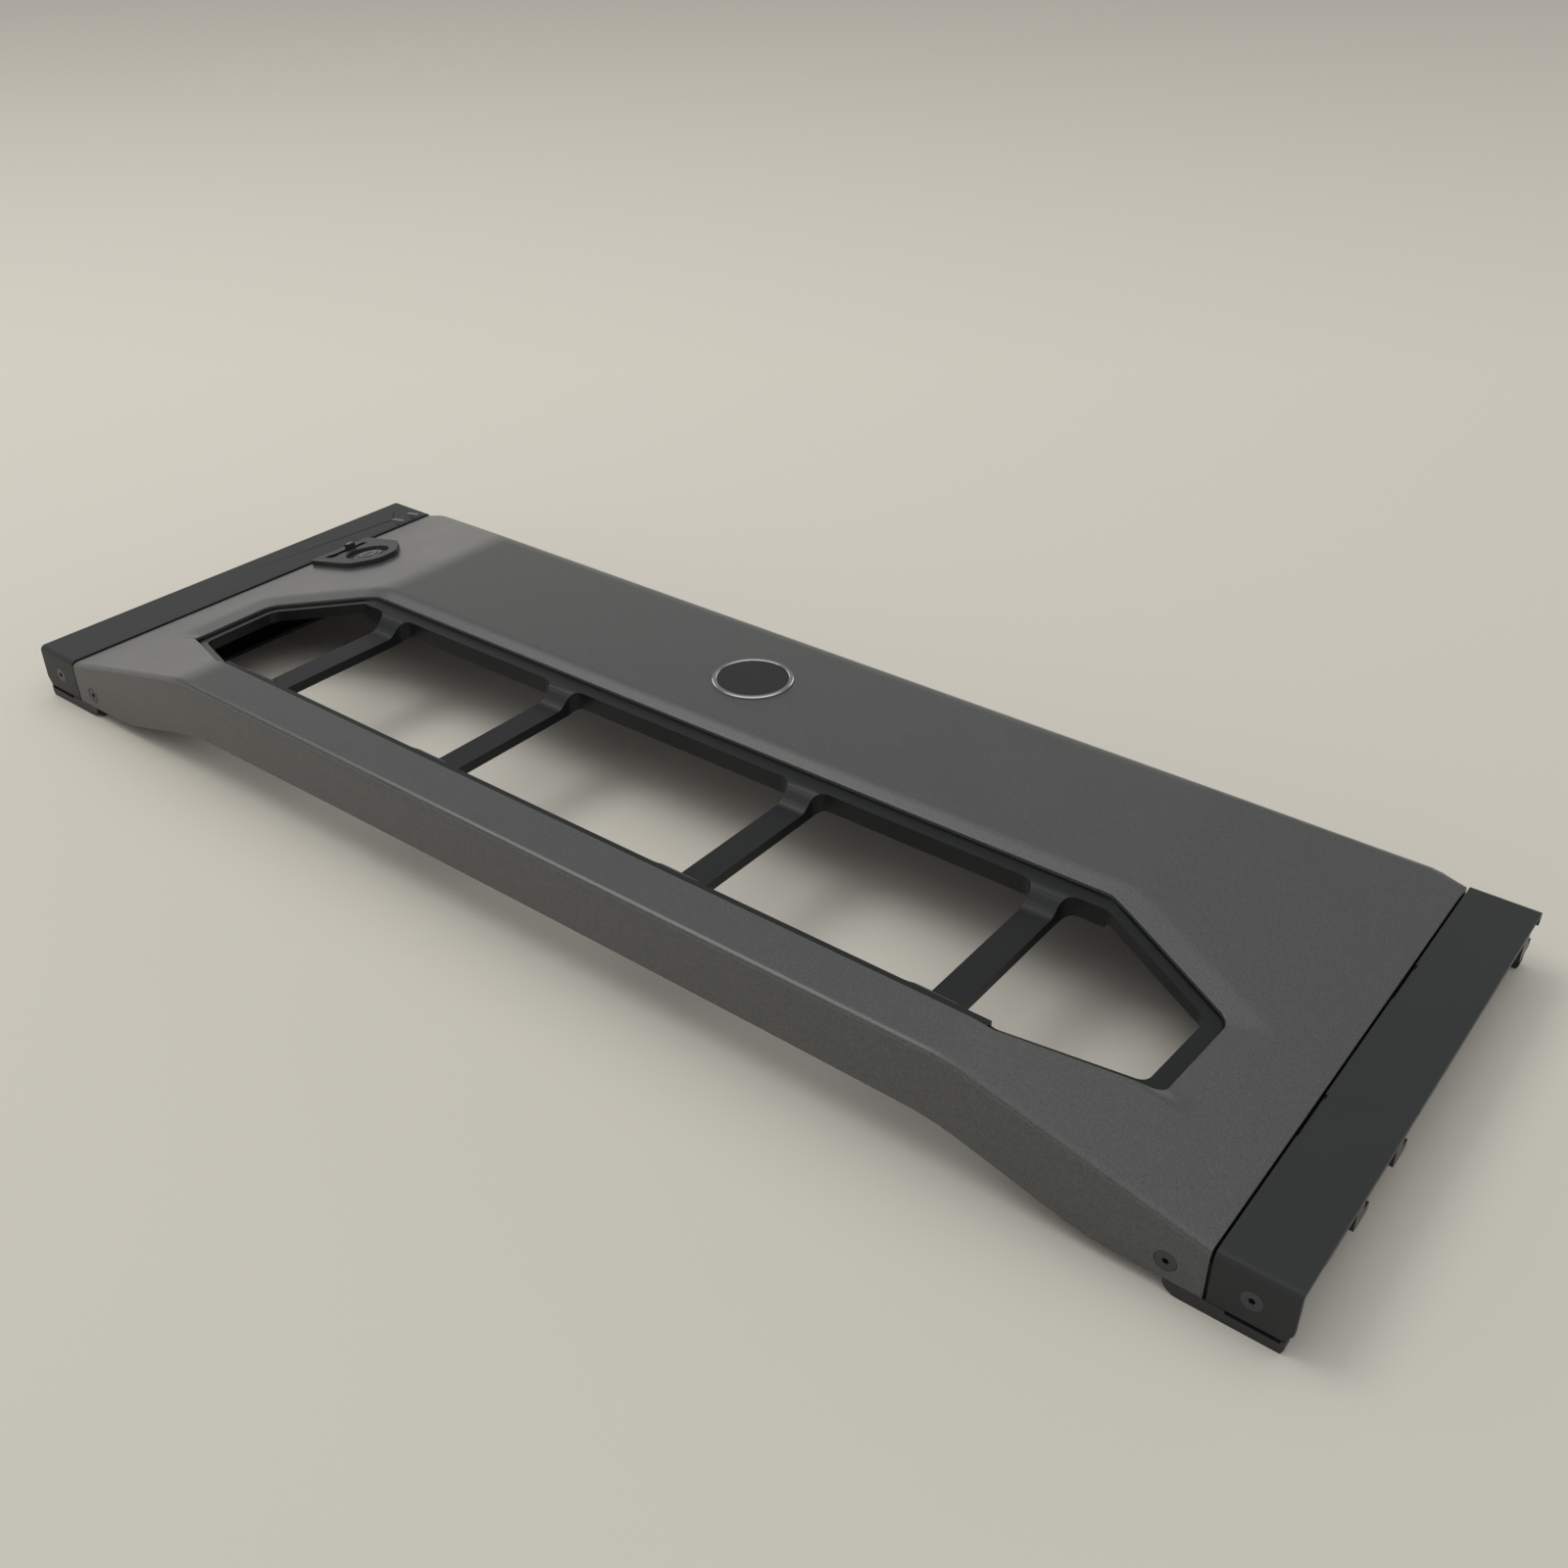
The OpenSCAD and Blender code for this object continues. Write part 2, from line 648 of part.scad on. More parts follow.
hook_y = [32.5, 57.5, total_d - 14.5];
hook_plate_w = 9;
stake_d = 2.6;
stake_y = [20, 45, total_d - 62, total_d - 28];
module at_hook_stakes() {
    for (y = stake_y) translate([half_w - hook_plate_w / 2 - 2, up(y), 0]) children();
}
module right_hook_plate() {
    top = cap_z - cap_t - fit / 2;
    color([0.55, 0.56, 0.55]) {
        difference() {
            translate([half_w - hook_plate_w - 0.2, up(stake_y[0] - 6), top - hook_t])
                cube([hook_plate_w, hook_y[2] + hook_stem - stake_y[0] + 6, hook_t]);
            at_hook_stakes() cylinder(d = stake_d + 2 * fit, h = far);
        }
        for (y = hook_y) along_x(half_w - 0.2 - hook_t, half_w - 0.2) polygon(rounded([
            [up(y), top - over, 0], [up(y), cap_z - hook_drop, 1],
            [up(y) + hook_stem + hook_nose, cap_z - hook_drop, 1],
            [up(y) + hook_stem + hook_nose, cap_z - hook_drop + 3, 0.6],
            [up(y) + hook_stem, cap_z - hook_drop + 3.4, 0.6], [up(y) + hook_stem, top - over, 0]
        ]));
    }
}

// ---- Badge ----

badge_pin_d = 2.2;
badge_disc_h = badge_h * 0.6;
badge_lip_h = 0.25;
module at_badge_pins() {
    mirrored([1, 0, 0]) translate([badge_d / 4, 0, 0]) children();
}
module badge_ring() {
    ring_r = badge_d / 2;
    color([0.8, 0.8, 0.8]) translate([0, up(badge_y), face_z]) rotate_extrude($fn = 96) polygon([
        [ring_r - badge_rim_w, badge_lip_h + fit / 2], [ring_r - badge_rim_w, badge_h - 0.2],
        [ring_r - badge_rim_w + 0.2, badge_h], [ring_r - 0.3, badge_h], [ring_r, badge_h - 0.3],
        [ring_r, 0], [ring_r - 0.5, 0], [ring_r - 0.5, badge_lip_h + fit / 2]
    ]);
}
module badge_disc() {
    color([0.1, 0.1, 0.11]) translate([0, up(badge_y), face_z]) {
        cylinder(r = badge_d / 2 - 0.5 - fit / 2, h = badge_lip_h, $fn = 96);
        cylinder(r = badge_d / 2 - badge_rim_w - fit / 2, h = badge_disc_h, $fn = 96);
        at_badge_pins() translate([0, 0, -sheet_t - 2]) cylinder(d = badge_pin_d, h = sheet_t + 2);
    }
}
module badge_clips() {
    color([0.6, 0.61, 0.63]) translate([0, up(badge_y), face_z - sheet_t]) at_badge_pins()
        translate([0, 0, -0.6]) difference() {
            cylinder(d = badge_pin_d + 5, h = 0.6);
            translate([0, 0, -over]) cylinder(d = badge_pin_d + fit, h = 0.6 + 2 * over);
        }
}

// ---- Key lock, drawn on the left ramp round the lock's centre ----

plate_half_y = 14.8;
plate_left = -21.6;
floor_z = plate_h - recess_depth;
floor_t = 1.4;
slot_x = -14.9;
slot_y0 = -8.5;
plate_screw_d = 2;
module lock_outline() {
    polygon(rounded([
        [plate_left, -12.4, 1], [4.8, -13.3, 8], [14.8, -6.6, 7], [14, 4, 8], [2.3, 14.2, 9],
        [plate_left, 16.6, 1]
    ], 7));
}
// The hole in the panel that the plate's back stands in
module lock_cut_outline(d) {
    polygon(rounded([
        [plate_left + 2.6 - d, -9 - d, 2], [3, -10 - d, 7], [12 + d, -4 - d, 5], [11.4 + d, 3, 5],
        [1, 11 + d, 7], [plate_left + 2.6 - d, 12.6 + d, 2]
    ]));
}
module at_plate_screws() {
    for (p = [[-9, -11.4], [-8, 14]]) translate([p[0], p[1], 0]) children();
}
module lock_plate() {
    color([0.12, 0.125, 0.13]) on_left_ramp(lock_x, lock_y) difference() {
        union() {
            linear_extrude(plate_h) lock_outline();
            translate([0, 0, floor_z - floor_t - 0.6]) linear_extrude(floor_t + 0.6) lock_cut_outline(0);
        }
        // Oval recess round the key lock
        translate([0, 0, floor_z]) linear_extrude(plate_h)
            scale([recess_l / recess_w, 1]) circle(d = recess_w, $fn = 64);
        translate([0, 0, -far / 2]) cylinder(d = body_d + 2 * fit, h = far);
        // Slot for the finger nub, with a wider end where the nub is put in
        translate([slot_x - slot_w / 2, slot_y0, -far / 2]) cube([slot_w, slot_l, far]);
        translate([slot_x - slot_w * 0.75, slot_y0, plate_h - 0.8]) cube([slot_w * 1.5, 3.6, plate_h]);
        at_plate_screws() translate([0, 0, -over]) cylinder(d = plate_screw_d + fit, h = plate_h);
    }
}
module lock_plate_screws() {
    color([0.5, 0.5, 0.52]) on_left_ramp(lock_x, lock_y) at_plate_screws()
        translate([0, 0, -sheet_t]) pan_screw(plate_screw_d, 3.4, 1.2, sheet_t + plate_h - 1.4);
}
module lock_body() {
    color([0.42, 0.42, 0.42]) on_left_ramp(lock_x, lock_y) difference() {
        union() {
            translate([0, 0, floor_z]) cylinder(d = body_d + 1.4, h = 0.5);
            translate([0, 0, -body_l]) cylinder(d = body_d, h = body_l + floor_z);
        }
        translate([0, 0, -body_l - over]) cylinder(d = plug_d + 2 * slide, h = far);
    }
}
module lock_nut() {
    seat = floor_z - floor_t - 0.6;
    color([0.62, 0.6, 0.5]) on_left_ramp(lock_x, lock_y) translate([0, 0, seat - 3]) difference() {
        cylinder(d = 15, h = 3, $fn = 6);
        translate([0, 0, -over]) cylinder(d = body_d + fit, h = 3 + 2 * over);
    }
}
tail_w = 3.4;
cam_t = 1.5;
cam_z = -body_l - cam_t - slide;
module lock_plug() {
    color([0.5, 0.5, 0.5]) on_left_ramp(lock_x, lock_y) difference() {
        union() {
            translate([0, 0, -body_l - slide]) cylinder(d = plug_d, h = body_l + slide + floor_z + 0.7);
            translate([-tail_w / 2, -tail_w / 2, cam_z]) cube([tail_w, tail_w, cam_t + over]);
        }
        translate([-0.6, -2.3, floor_z - 5]) cube([1.2, 4.6, 10]);
        translate([0, 0, cam_z - over]) cylinder(d = plate_screw_d + fit, h = 5);
    }
}
cam_l = 15;
module lock_cam() {
    color([0.58, 0.58, 0.6]) on_left_ramp(lock_x, lock_y) translate([0, 0, cam_z]) difference() {
        linear_extrude(cam_t - fit) union() {
            circle(d = 9);
            translate([-cam_l + 3, -3]) square([cam_l - 3, 6]);
            translate([-cam_l + 3, 0]) circle(d = 6);
        }
        translate([-tail_w / 2 - fit, -tail_w / 2 - fit, -over])
            cube([tail_w + 2 * fit, tail_w + 2 * fit, cam_t + 2 * over]);
    }
}
module cam_screw() {
    color([0.5, 0.5, 0.52]) on_left_ramp(lock_x, lock_y) translate([0, 0, cam_z - fit / 2])
        pan_screw(plate_screw_d, 5.6, 1.4, 3.6);
}

// ---- Release latch ----

nub_l = 3.4;
nub_y = 3;                                // Nub from the lock's centre
bar_in = web_in - 3.3;                    // Inner face of the latch bar, from the middle
bar_low = 6;                              // Lower edge of the latch bar
leg_t = 3;
leg_h = 10.9;                             // Reaches from the bar's lower edge up into the slider
lug_l = 6;
lug_z = 10.4;                             // Clear of the cam's upper face
slider_y = up(lock_y) + nub_y;            // Place of the slider along Y
module release_slider() {
    color([0.1, 0.105, 0.11]) {
        on_left_ramp(lock_x, lock_y) {
            translate([slot_x - slot_w / 2 + slide, nub_y - nub_l / 2, -3])
                cube([slot_w - 2 * slide, nub_l, nub_h + 3]);
            translate([slot_x - 5.5, nub_y - 10, -3.6]) cube([9.5, 18, 1.4]);
        }
        difference() {
            translate([-bar_in + fit / 2, slider_y - 6, bar_low + 0.5]) cube([leg_t, 12, leg_h]);
            at_slider_screws() translate([0, 0, -over])
                cylinder(d = plate_screw_d + fit, h = leg_t + 2 * over);
        }
        // Lug that stands over the cam while the lock is shut
        translate([-bar_in + fit / 2, slider_y - 6, lug_z]) cube([leg_t + lug_l, 4, 3.5]);
    }
}
screw_pitch = 3.2;
screw_rise = 2.4;                         // Keeps the heads under the lug
module at_slider_screws() {
    for (dy = [-screw_pitch, screw_pitch])
        translate([-bar_in + leg_t + fit, slider_y + dy, bar_low + screw_rise])
            rotate([0, -90, 0]) children();
}
module slider_screws() {
    color([0.5, 0.5, 0.52]) at_slider_screws()
        pan_screw(plate_screw_d, 3.4, 1.2, leg_t + bar_t + 0.4);
}
guide_y = [40, total_d - 30];
guide_d = 4;
guide_head_d = 7;
module at_guides() {
    for (y = guide_y) translate([-web_out, up(y), bar_low + bar_h / 2]) rotate([0, 90, 0]) children();
}
latch_hook_y = [60, total_d - 18];
latch_hook_w = 4;
bar_past_guide = 10;
bar_past_hook = 8;
spring_y = 84;
spring_l = 16;
spring_x = bar_in - 3.6;
spring_z = bar_low + bar_h / 2;
tab_t = 1.5;
module latch_bar() {
    low = up(guide_y[0]) - bar_past_guide;
    high = up(latch_hook_y[1]) + bar_past_hook;
    color([0.6, 0.61, 0.62]) difference() {
        union() {
            translate([-bar_in - bar_t, low, bar_low]) cube([bar_t, high - low, bar_h]);
            // Hooks through the web, each with its nose towards the lower edge
            for (y = latch_hook_y) {
                translate([-web_out - hook_reach, up(y), bar_low + 2])
                    cube([web_out + hook_reach - bar_in, latch_hook_w, bar_h - 4]);
                translate([-web_out - hook_reach, up(y) - 3, bar_low + 2]) cube([2.4, 3 + over, bar_h - 4]);
            }
            // Tab that presses on the spring
            translate([-bar_in - over, up(spring_y) - tab_t, bar_low]) cube([over + 6.6, tab_t, bar_h]);
        }
        for (y = guide_y) along_x(-half_w, 0) translate([up(y), bar_low + bar_h / 2])
            long_hole(guide_d + 2 * slide, latch_travel);
        at_slider_screws() cylinder(d = plate_screw_d + 2 * fit, h = far);
    }
}
module guide_screws() {
    color([0.5, 0.5, 0.52]) at_guides() {
        cylinder(d = 3, h = rail_sheet);
        translate([0, 0, rail_sheet]) cylinder(d = guide_d, h = web_in - bar_in + slide);
        translate([0, 0, rail_sheet + web_in - bar_in + slide]) difference() {
            cylinder(d = guide_head_d, h = 1.6);
            translate([0, 0, 1.6]) mirror([0, 0, 1]) star_socket(2.6, 1);
        }
    }
}
module guide_spacers() {
    t = web_in - bar_in - bar_t - fit;
    color([0.85, 0.85, 0.82]) at_guides() translate([0, 0, rail_sheet]) difference() {
        cylinder(d = guide_head_d, h = t);
        translate([0, 0, -over]) cylinder(d = guide_d + 2 * fit, h = t + 2 * over);
    }
}
// Helix of round wire, as rings of points joined into one skin
module latch_spring() {
    ring_n = 8;
    step_n = 14 * spring_turns;
    r = (coil_d - wire_d) / 2;
    run = spring_l - wire_d;
    ring = [for (i = [0:step_n]) let (t = i / step_n, a = 360 * spring_turns * t)
        for (j = [0:ring_n - 1]) let (b = 360 * j / ring_n, rr = r + wire_d / 2 * cos(b))
            [rr * cos(a), rr * sin(a), wire_d / 2 + run * t + wire_d / 2 * sin(b)]];
    sides = [for (i = [0:step_n - 1], j = [0:ring_n - 1])
        let (k = (j + 1) % ring_n)
        [i * ring_n + j, i * ring_n + k, (i + 1) * ring_n + k, (i + 1) * ring_n + j]];
    ends = [[for (j = [ring_n - 1:-1:0]) j], [for (j = [0:ring_n - 1]) step_n * ring_n + j]];
    color([0.7, 0.7, 0.72]) translate([-spring_x, up(spring_y) + fit / 2, spring_z]) rotate([-90, 0, 0])
        polyhedron(ring, concat(sides, ends));
}
module left_base_rail() {
    color([0.17, 0.175, 0.18]) {
        difference() {
            mirror([1, 0, 0]) base_rail();
            // Windows for the latch hooks, as long as the latch travels
            for (y = latch_hook_y) translate([-web_out - over, up(y) - 3 - slide, bar_low + 1])
                cube([rail_sheet + 2 * over, 3 + latch_hook_w + latch_travel + 2 * slide, bar_h - 2]);
            at_guides() translate([0, 0, -over]) cylinder(d = 3 + fit, h = rail_sheet + 2 * over);
        }
        // Stop for the spring, folded up from the floor
        translate([-bar_in + slide, up(spring_y) + spring_l + fit, 0]) cube([6, tab_t, bar_low + bar_h]);
    }
}

front_panel();
window_frame();
left_end_cap();
right_end_cap();
left_base_rail();
right_base_rail();
right_hook_plate();
badge_ring();
badge_disc();
badge_clips();
lock_plate();
lock_plate_screws();
lock_body();
lock_nut();
lock_plug();
lock_cam();
cam_screw();
release_slider();
slider_screws();
latch_bar();
guide_screws();
guide_spacers();
latch_spring();
indicator_lenses();
cap_screws();
panel_screws();
frame_screws();
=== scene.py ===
"""Server front bezel on its CAD frame: a formed panel, materials, softened edges, floor, light and camera."""
import math

import bmesh
import bpy
import numpy as np
from mathutils import Matrix, Vector


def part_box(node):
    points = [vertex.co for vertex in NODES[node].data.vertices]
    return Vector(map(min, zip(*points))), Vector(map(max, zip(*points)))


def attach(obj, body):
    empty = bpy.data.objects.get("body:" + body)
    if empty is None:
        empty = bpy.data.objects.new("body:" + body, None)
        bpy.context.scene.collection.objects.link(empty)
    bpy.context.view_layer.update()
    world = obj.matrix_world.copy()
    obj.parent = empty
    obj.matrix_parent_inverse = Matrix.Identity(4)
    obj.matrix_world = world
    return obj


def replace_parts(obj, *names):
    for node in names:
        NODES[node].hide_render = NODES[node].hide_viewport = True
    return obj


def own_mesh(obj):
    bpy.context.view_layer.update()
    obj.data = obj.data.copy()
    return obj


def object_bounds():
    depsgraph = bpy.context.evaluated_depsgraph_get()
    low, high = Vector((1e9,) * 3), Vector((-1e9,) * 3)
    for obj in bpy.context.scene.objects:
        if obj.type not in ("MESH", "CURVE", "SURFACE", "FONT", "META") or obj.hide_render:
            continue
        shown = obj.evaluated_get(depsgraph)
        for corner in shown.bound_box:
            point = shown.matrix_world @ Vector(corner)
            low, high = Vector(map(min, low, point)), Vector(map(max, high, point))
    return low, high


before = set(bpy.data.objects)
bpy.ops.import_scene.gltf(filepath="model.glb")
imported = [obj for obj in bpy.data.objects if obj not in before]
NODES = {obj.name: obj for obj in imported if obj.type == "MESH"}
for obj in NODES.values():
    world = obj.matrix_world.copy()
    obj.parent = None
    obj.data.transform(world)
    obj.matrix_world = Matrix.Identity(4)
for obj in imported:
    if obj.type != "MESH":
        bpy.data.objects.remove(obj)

CAD_LOW, CAD_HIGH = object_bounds()

# ---- Driving dimensions of the formed panel, in metres, in the CAD's own frame ----

HALF_W = CAD_HIGH.x                 # Middle to the bezel's end
HALF_D = CAD_HIGH.y                 # Middle to the bezel's upper edge
PANEL_LOW, PANEL_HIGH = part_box("front_panel")
PANEL_END = PANEL_HIGH.x            # Middle to the panel's end
FACE_Z = PANEL_HIGH.z               # Level of the flat face
RAMP = math.radians(13.6)           # Slope of the two ramps
END_Z = 0.0192                      # Level of the face at the panel's ends
CREST_X = PANEL_END - (FACE_Z - END_Z) / math.tan(RAMP)
CREST_SOFT = 0.0015                 # Depth over which the crest is rounded off
SHEET = 0.0012                      # Thickness of the sheet
EDGE_R = 0.002                      # Bend between the face and a skirt
BEVEL_W, BEVEL_DROP = 0.0226, 0.0152
SKIRT_END_Z, SKIRT_MID_Z = 0.0041, 0.0155
SKIRT_ARCH = 0.0009
SKIRT_DEEP, SKIRT_RISE = 0.0291, 0.043
RIM_LOW, RIM_HIGH = 0.017 - HALF_D, 0.084 - HALF_D
RIM_X = HALF_W - 0.048
RIM_LOW_CUT, RIM_LOW_RUN = 0.0153, 0.0395
RIM_HIGH_CUT, RIM_HIGH_RUN = 0.017, 0.043
RIM_R = 0.005
DISH_DROP = 0.0015                  # Dished border round the opening
DISH_HIGH, DISH_SIDE = 0.0046, 0.0098
SCREW_X = 0.0305                    # Panel screws, from the bezel's end
SCREW_Z = 0.00945
SCREW_HOLE_R = 0.00285
LOCK_X, LOCK_Y = 0.044 - HALF_W, 0.1175 - HALF_D
STRIP_SOFT = 0.0008                 # The same for the edge of the sloping strip
EASE = 0.007                        # Half length over which the skirt's corners are eased
ARC_STEPS = 8
SPOKE_STEP = 0.002
OUTER_ROWS = 30
BEND_STEPS = 6
SKIRT_ROWS = 6
SPRING_WIRE, SPRING_TURNS = 0.0005, 8


def new_object(name, mesh):
    thing = bpy.data.objects.new(name, mesh)
    bpy.context.scene.collection.objects.link(thing)
    return thing

DISH_WIDTHS = {"high": 0.0046, "cut": 0.0066, "side": 0.0092}
DISH_SOFT = 0.32                    # Share of the dish's width that its outer edge is rounded over
LOW_CUT_Y = RIM_LOW + RIM_LOW_CUT   # The dish fades out here
BOSS_R, BOSS_BORE_R = 0.0025, 0.00125
PLATE_SCREWS = ((-0.009, -0.0114), (-0.008, 0.014))
BADGE_PIN = (0.00675, 0.1163 - HALF_D)


# ---- The panel's form, as a level over each place (x, y) ----

def smooth(t):
    t = np.clip(t, 0, 1)
    return t * t * (3 - 2 * t)


def soft_min(a, b, width):
    """The lower of two levels, rounded where they cross."""
    h = np.maximum(width - np.abs(a - b), 0) / width
    return np.minimum(a, b) - h * h * width / 4


def rim_lines():
    """The opening's edges on the right half: a point, the outward normal and the dish's width."""
    low_cut = (RIM_X - RIM_LOW_RUN, RIM_LOW), (RIM_X - 0.0015, LOW_CUT_Y)
    side = low_cut[1], (RIM_X, RIM_HIGH - RIM_HIGH_CUT)
    high_cut = side[1], (RIM_X - RIM_HIGH_RUN, RIM_HIGH)
    high = high_cut[1], (0, RIM_HIGH)
    widths = DISH_WIDTHS["cut"], DISH_WIDTHS["side"], DISH_WIDTHS["cut"], DISH_WIDTHS["high"]
    for (p, q), width in zip((low_cut, side, high_cut, high), widths):
        along = Vector(q) - Vector(p)
        normal = Vector((along.y, -along.x)).normalized()
        yield Vector(p), normal, width


def dish_depth(x, y):
    """How far the face is pressed in, for places beside the opening."""
    steps = [((x - p.x) * n.x + (y - p.y) * n.y) / width for p, n, width in rim_lines()]
    sharp = 7
    reach = np.log(sum(np.exp(sharp * np.clip(s, -4, 4)) for s in steps)) / sharp
    fade = smooth((y - LOW_CUT_Y + 0.0035) / 0.007)
    return DISH_DROP * (1 - soft_min(reach, 1.0, DISH_SOFT)) * fade


def bare_level(x, y):
    """The face before the border is pressed in: flat middle, two ramps, sloping strip."""
    ramp = FACE_Z - (np.abs(x) - CREST_X) * math.tan(RAMP)
    strip = FACE_Z - (y - HALF_D + BEVEL_W) * BEVEL_DROP / BEVEL_W
    flat = np.full_like(ramp, FACE_Z)
    return soft_min(soft_min(flat, ramp, CREST_SOFT), strip, STRIP_SOFT)


def level(x, y):
    return bare_level(x, y) - dish_depth(np.abs(x), y)


def level_normal(x, y):
    """Unit normals of the formed face."""
    d = 0.00005
    slope_x = (level(x + d, y) - level(x - d, y)) / (2 * d)
    slope_y = (level(x, y + d) - level(x, y - d)) / (2 * d)
    normal = np.stack([-slope_x, -slope_y, np.ones_like(slope_x)], -1)
    return normal / np.linalg.norm(normal, axis=-1, keepdims=True)


def skirt_edge(x):
    """Level of the skirt's lower edge, with its corners eased."""
    low_x = PANEL_END - SKIRT_DEEP
    high_x = low_x - SKIRT_RISE

    def plain(at):
        at = np.abs(at)
        arch = SKIRT_MID_Z + SKIRT_ARCH * (1 - np.minimum(at / high_x, 1) ** 2)
        fall = np.clip((at - high_x) / SKIRT_RISE, 0, 1)
        return arch + (SKIRT_END_Z - SKIRT_MID_Z) * fall
    eased = np.linspace(-EASE, EASE, 9)
    return sum(plain(x + step) for step in eased) / len(eased)


# ---- The opening's outline ----

def corner_arc(p, q, s, radius, count):
    """Rounded corner at q, between its neighbours p and s."""
    u, v = (p - q).normalized(), (s - q).normalized()
    half = math.acos(max(-1.0, min(1.0, u.dot(v)))) / 2
    centre = q + (u + v).normalized() * radius / math.sin(half)
    a = q + u * radius / math.tan(half) - centre
    b = q + v * radius / math.tan(half) - centre
    start = math.atan2(a.y, a.x)
    turn = (math.atan2(b.y, b.x) - start + 3 * math.pi) % (2 * math.pi) - math.pi
    angles = [start + turn * i / count for i in range(count + 1)]
    return [centre + Vector((math.cos(t), math.sin(t))) * radius for t in angles]


def rim_corners():
    half = [Vector((RIM_X - RIM_LOW_RUN, RIM_LOW)), Vector((RIM_X - 0.0015, LOW_CUT_Y)),
            Vector((RIM_X, RIM_HIGH - RIM_HIGH_CUT)), Vector((RIM_X - RIM_HIGH_RUN, RIM_HIGH))]
    return half + [Vector((-p.x, p.y)) for p in reversed(half)]


def outer_corners():
    """Where the spokes from the opening's eight corners meet the panel's outer edge."""
    half = [Vector((RIM_X - RIM_LOW_RUN, -HALF_D)), Vector((PANEL_END, -HALF_D)),
            Vector((PANEL_END, 0.01)), Vector((PANEL_END, HALF_D))]
    return half + [Vector((-p.x, p.y)) for p in reversed(half)]


def spokes():
    """For each spoke: its foot on the rim, the rim's outward normal there, and its outer end."""
    inner, outer = rim_corners(), outer_corners()
    count = len(inner)
    arcs = [corner_arc(inner[i - 1], inner[i], inner[(i + 1) % count], RIM_R, ARC_STEPS) for i in range(count)]
    feet, ends = [], []
    for i in range(count):
        nxt = (i + 1) % count
        a, b = arcs[i][ARC_STEPS // 2:], arcs[nxt][:ARC_STEPS // 2 + 1]
        run = max(2, round((b[0] - a[-1]).length / SPOKE_STEP))
        side = a + [a[-1].lerp(b[0], k / run) for k in range(1, run)] + b
        length = [0.0]
        for p, q in zip(side, side[1:]):
            length.append(length[-1] + (q - p).length)
        feet += side[:-1]
        ends += [outer[i].lerp(outer[nxt], t / length[-1]) for t in length[:-1]]
    feet, ends = np.array(feet), np.array(ends)
    along = np.roll(feet, -1, 0) - np.roll(feet, 1, 0)
    out = np.stack([along[:, 1], -along[:, 0]], 1)
    return feet, out / np.linalg.norm(out, axis=1, keepdims=True), ends


# ---- The panel's mesh ----

def face_places(feet, out, ends, offsets, rows):
    """Places (spoke, row, xy): square to the rim first, then on to the outer edge."""
    near = feet[:, None, :] + out[:, None, :] * np.array(offsets)[None, :, None]
    last = near[:, -1]
    steps = np.linspace(0, 1, rows + 1)[1:]
    far = last[:, None, :] + (ends - last)[:, None, :] * steps[None, :, None]
    return np.concatenate([near, far], 1)


def end_bends(ends):
    """Pulls the outer ends in to where the bends over the two long edges start."""
    sloped = ends.copy()
    long_edge = np.abs(np.abs(ends[:, 1]) - HALF_D) < 1e-6
    far_side = long_edge & (ends[:, 1] > 0)
    d = 0.0001
    slope = (level(ends[:, 0], ends[:, 1] - d) - level(ends[:, 0], ends[:, 1])) / d
    angle = np.where(far_side, np.arctan(np.maximum(slope, 0)), 0.0)
    inset = EDGE_R * (1 - np.sin(angle))
    drawn_in = ends[:, 1] * (HALF_D - EDGE_R) / HALF_D
    sloped[:, 1] = np.where(long_edge, np.sign(ends[:, 1]) * (HALF_D - inset), drawn_in)
    return sloped, angle, long_edge


class Skin:
    """Vertices and quads, added as grids of places."""

    def __init__(self):
        self.places, self.quads = [], []

    def add(self, grid):
        """Adds a grid of places (columns, rows, xyz) and returns its vertex numbers."""
        first = sum(len(p) for p in self.places)
        self.places.append(grid.reshape(-1, 3))
        return first + np.arange(grid.shape[0] * grid.shape[1]).reshape(grid.shape[:2])

    def cover(self, ids, closed=False, flip=False):
        """Quads between neighbouring columns of a grid of vertex numbers."""
        nxt = np.roll(ids, -1, 0) if closed else ids[1:]
        here = ids if closed else ids[:-1]
        quad = np.stack([here[:, :-1], nxt[:, :-1], nxt[:, 1:], here[:, 1:]], -1).reshape(-1, 4)
        self.quads.append(quad[:, ::-1] if flip else quad)

    def mesh(self, name):
        places, quads = np.concatenate(self.places), np.concatenate(self.quads)
        made = bpy.data.meshes.new(name)
        made.from_pydata(places.tolist(), [], quads.tolist())
        made.validate()
        return made


def skirt_columns(starts, angle, inner, rows):
    """Columns over the bend and down a skirt; the inner face lies a sheet's thickness inside."""
    radius = EDGE_R - SHEET if inner else EDGE_R
    side = np.sign(starts[:, 1])
    x = starts[:, 0]
    centre_y = np.abs(starts[:, 1]) - EDGE_R * np.sin(angle)
    centre_z = level(x, starts[:, 1]) - EDGE_R * np.cos(angle)
    turns = angle[:, None] + (math.pi / 2 - angle)[:, None] * np.linspace(0, 1, BEND_STEPS + 1)[None, :]
    y = centre_y[:, None] + radius * np.sin(turns)
    z = centre_z[:, None] + radius * np.cos(turns)
    low = skirt_edge(x)
    down = z[:, -1:] + (low[:, None] - z[:, -1:]) * np.linspace(0, 1, rows + 1)[None, 1:]
    y = np.concatenate([y, np.repeat(y[:, -1:], rows, 1)], 1) * side[:, None]
    z = np.concatenate([z, down], 1)
    return np.stack([np.repeat(x[:, None], y.shape[1], 1), y, z], -1)


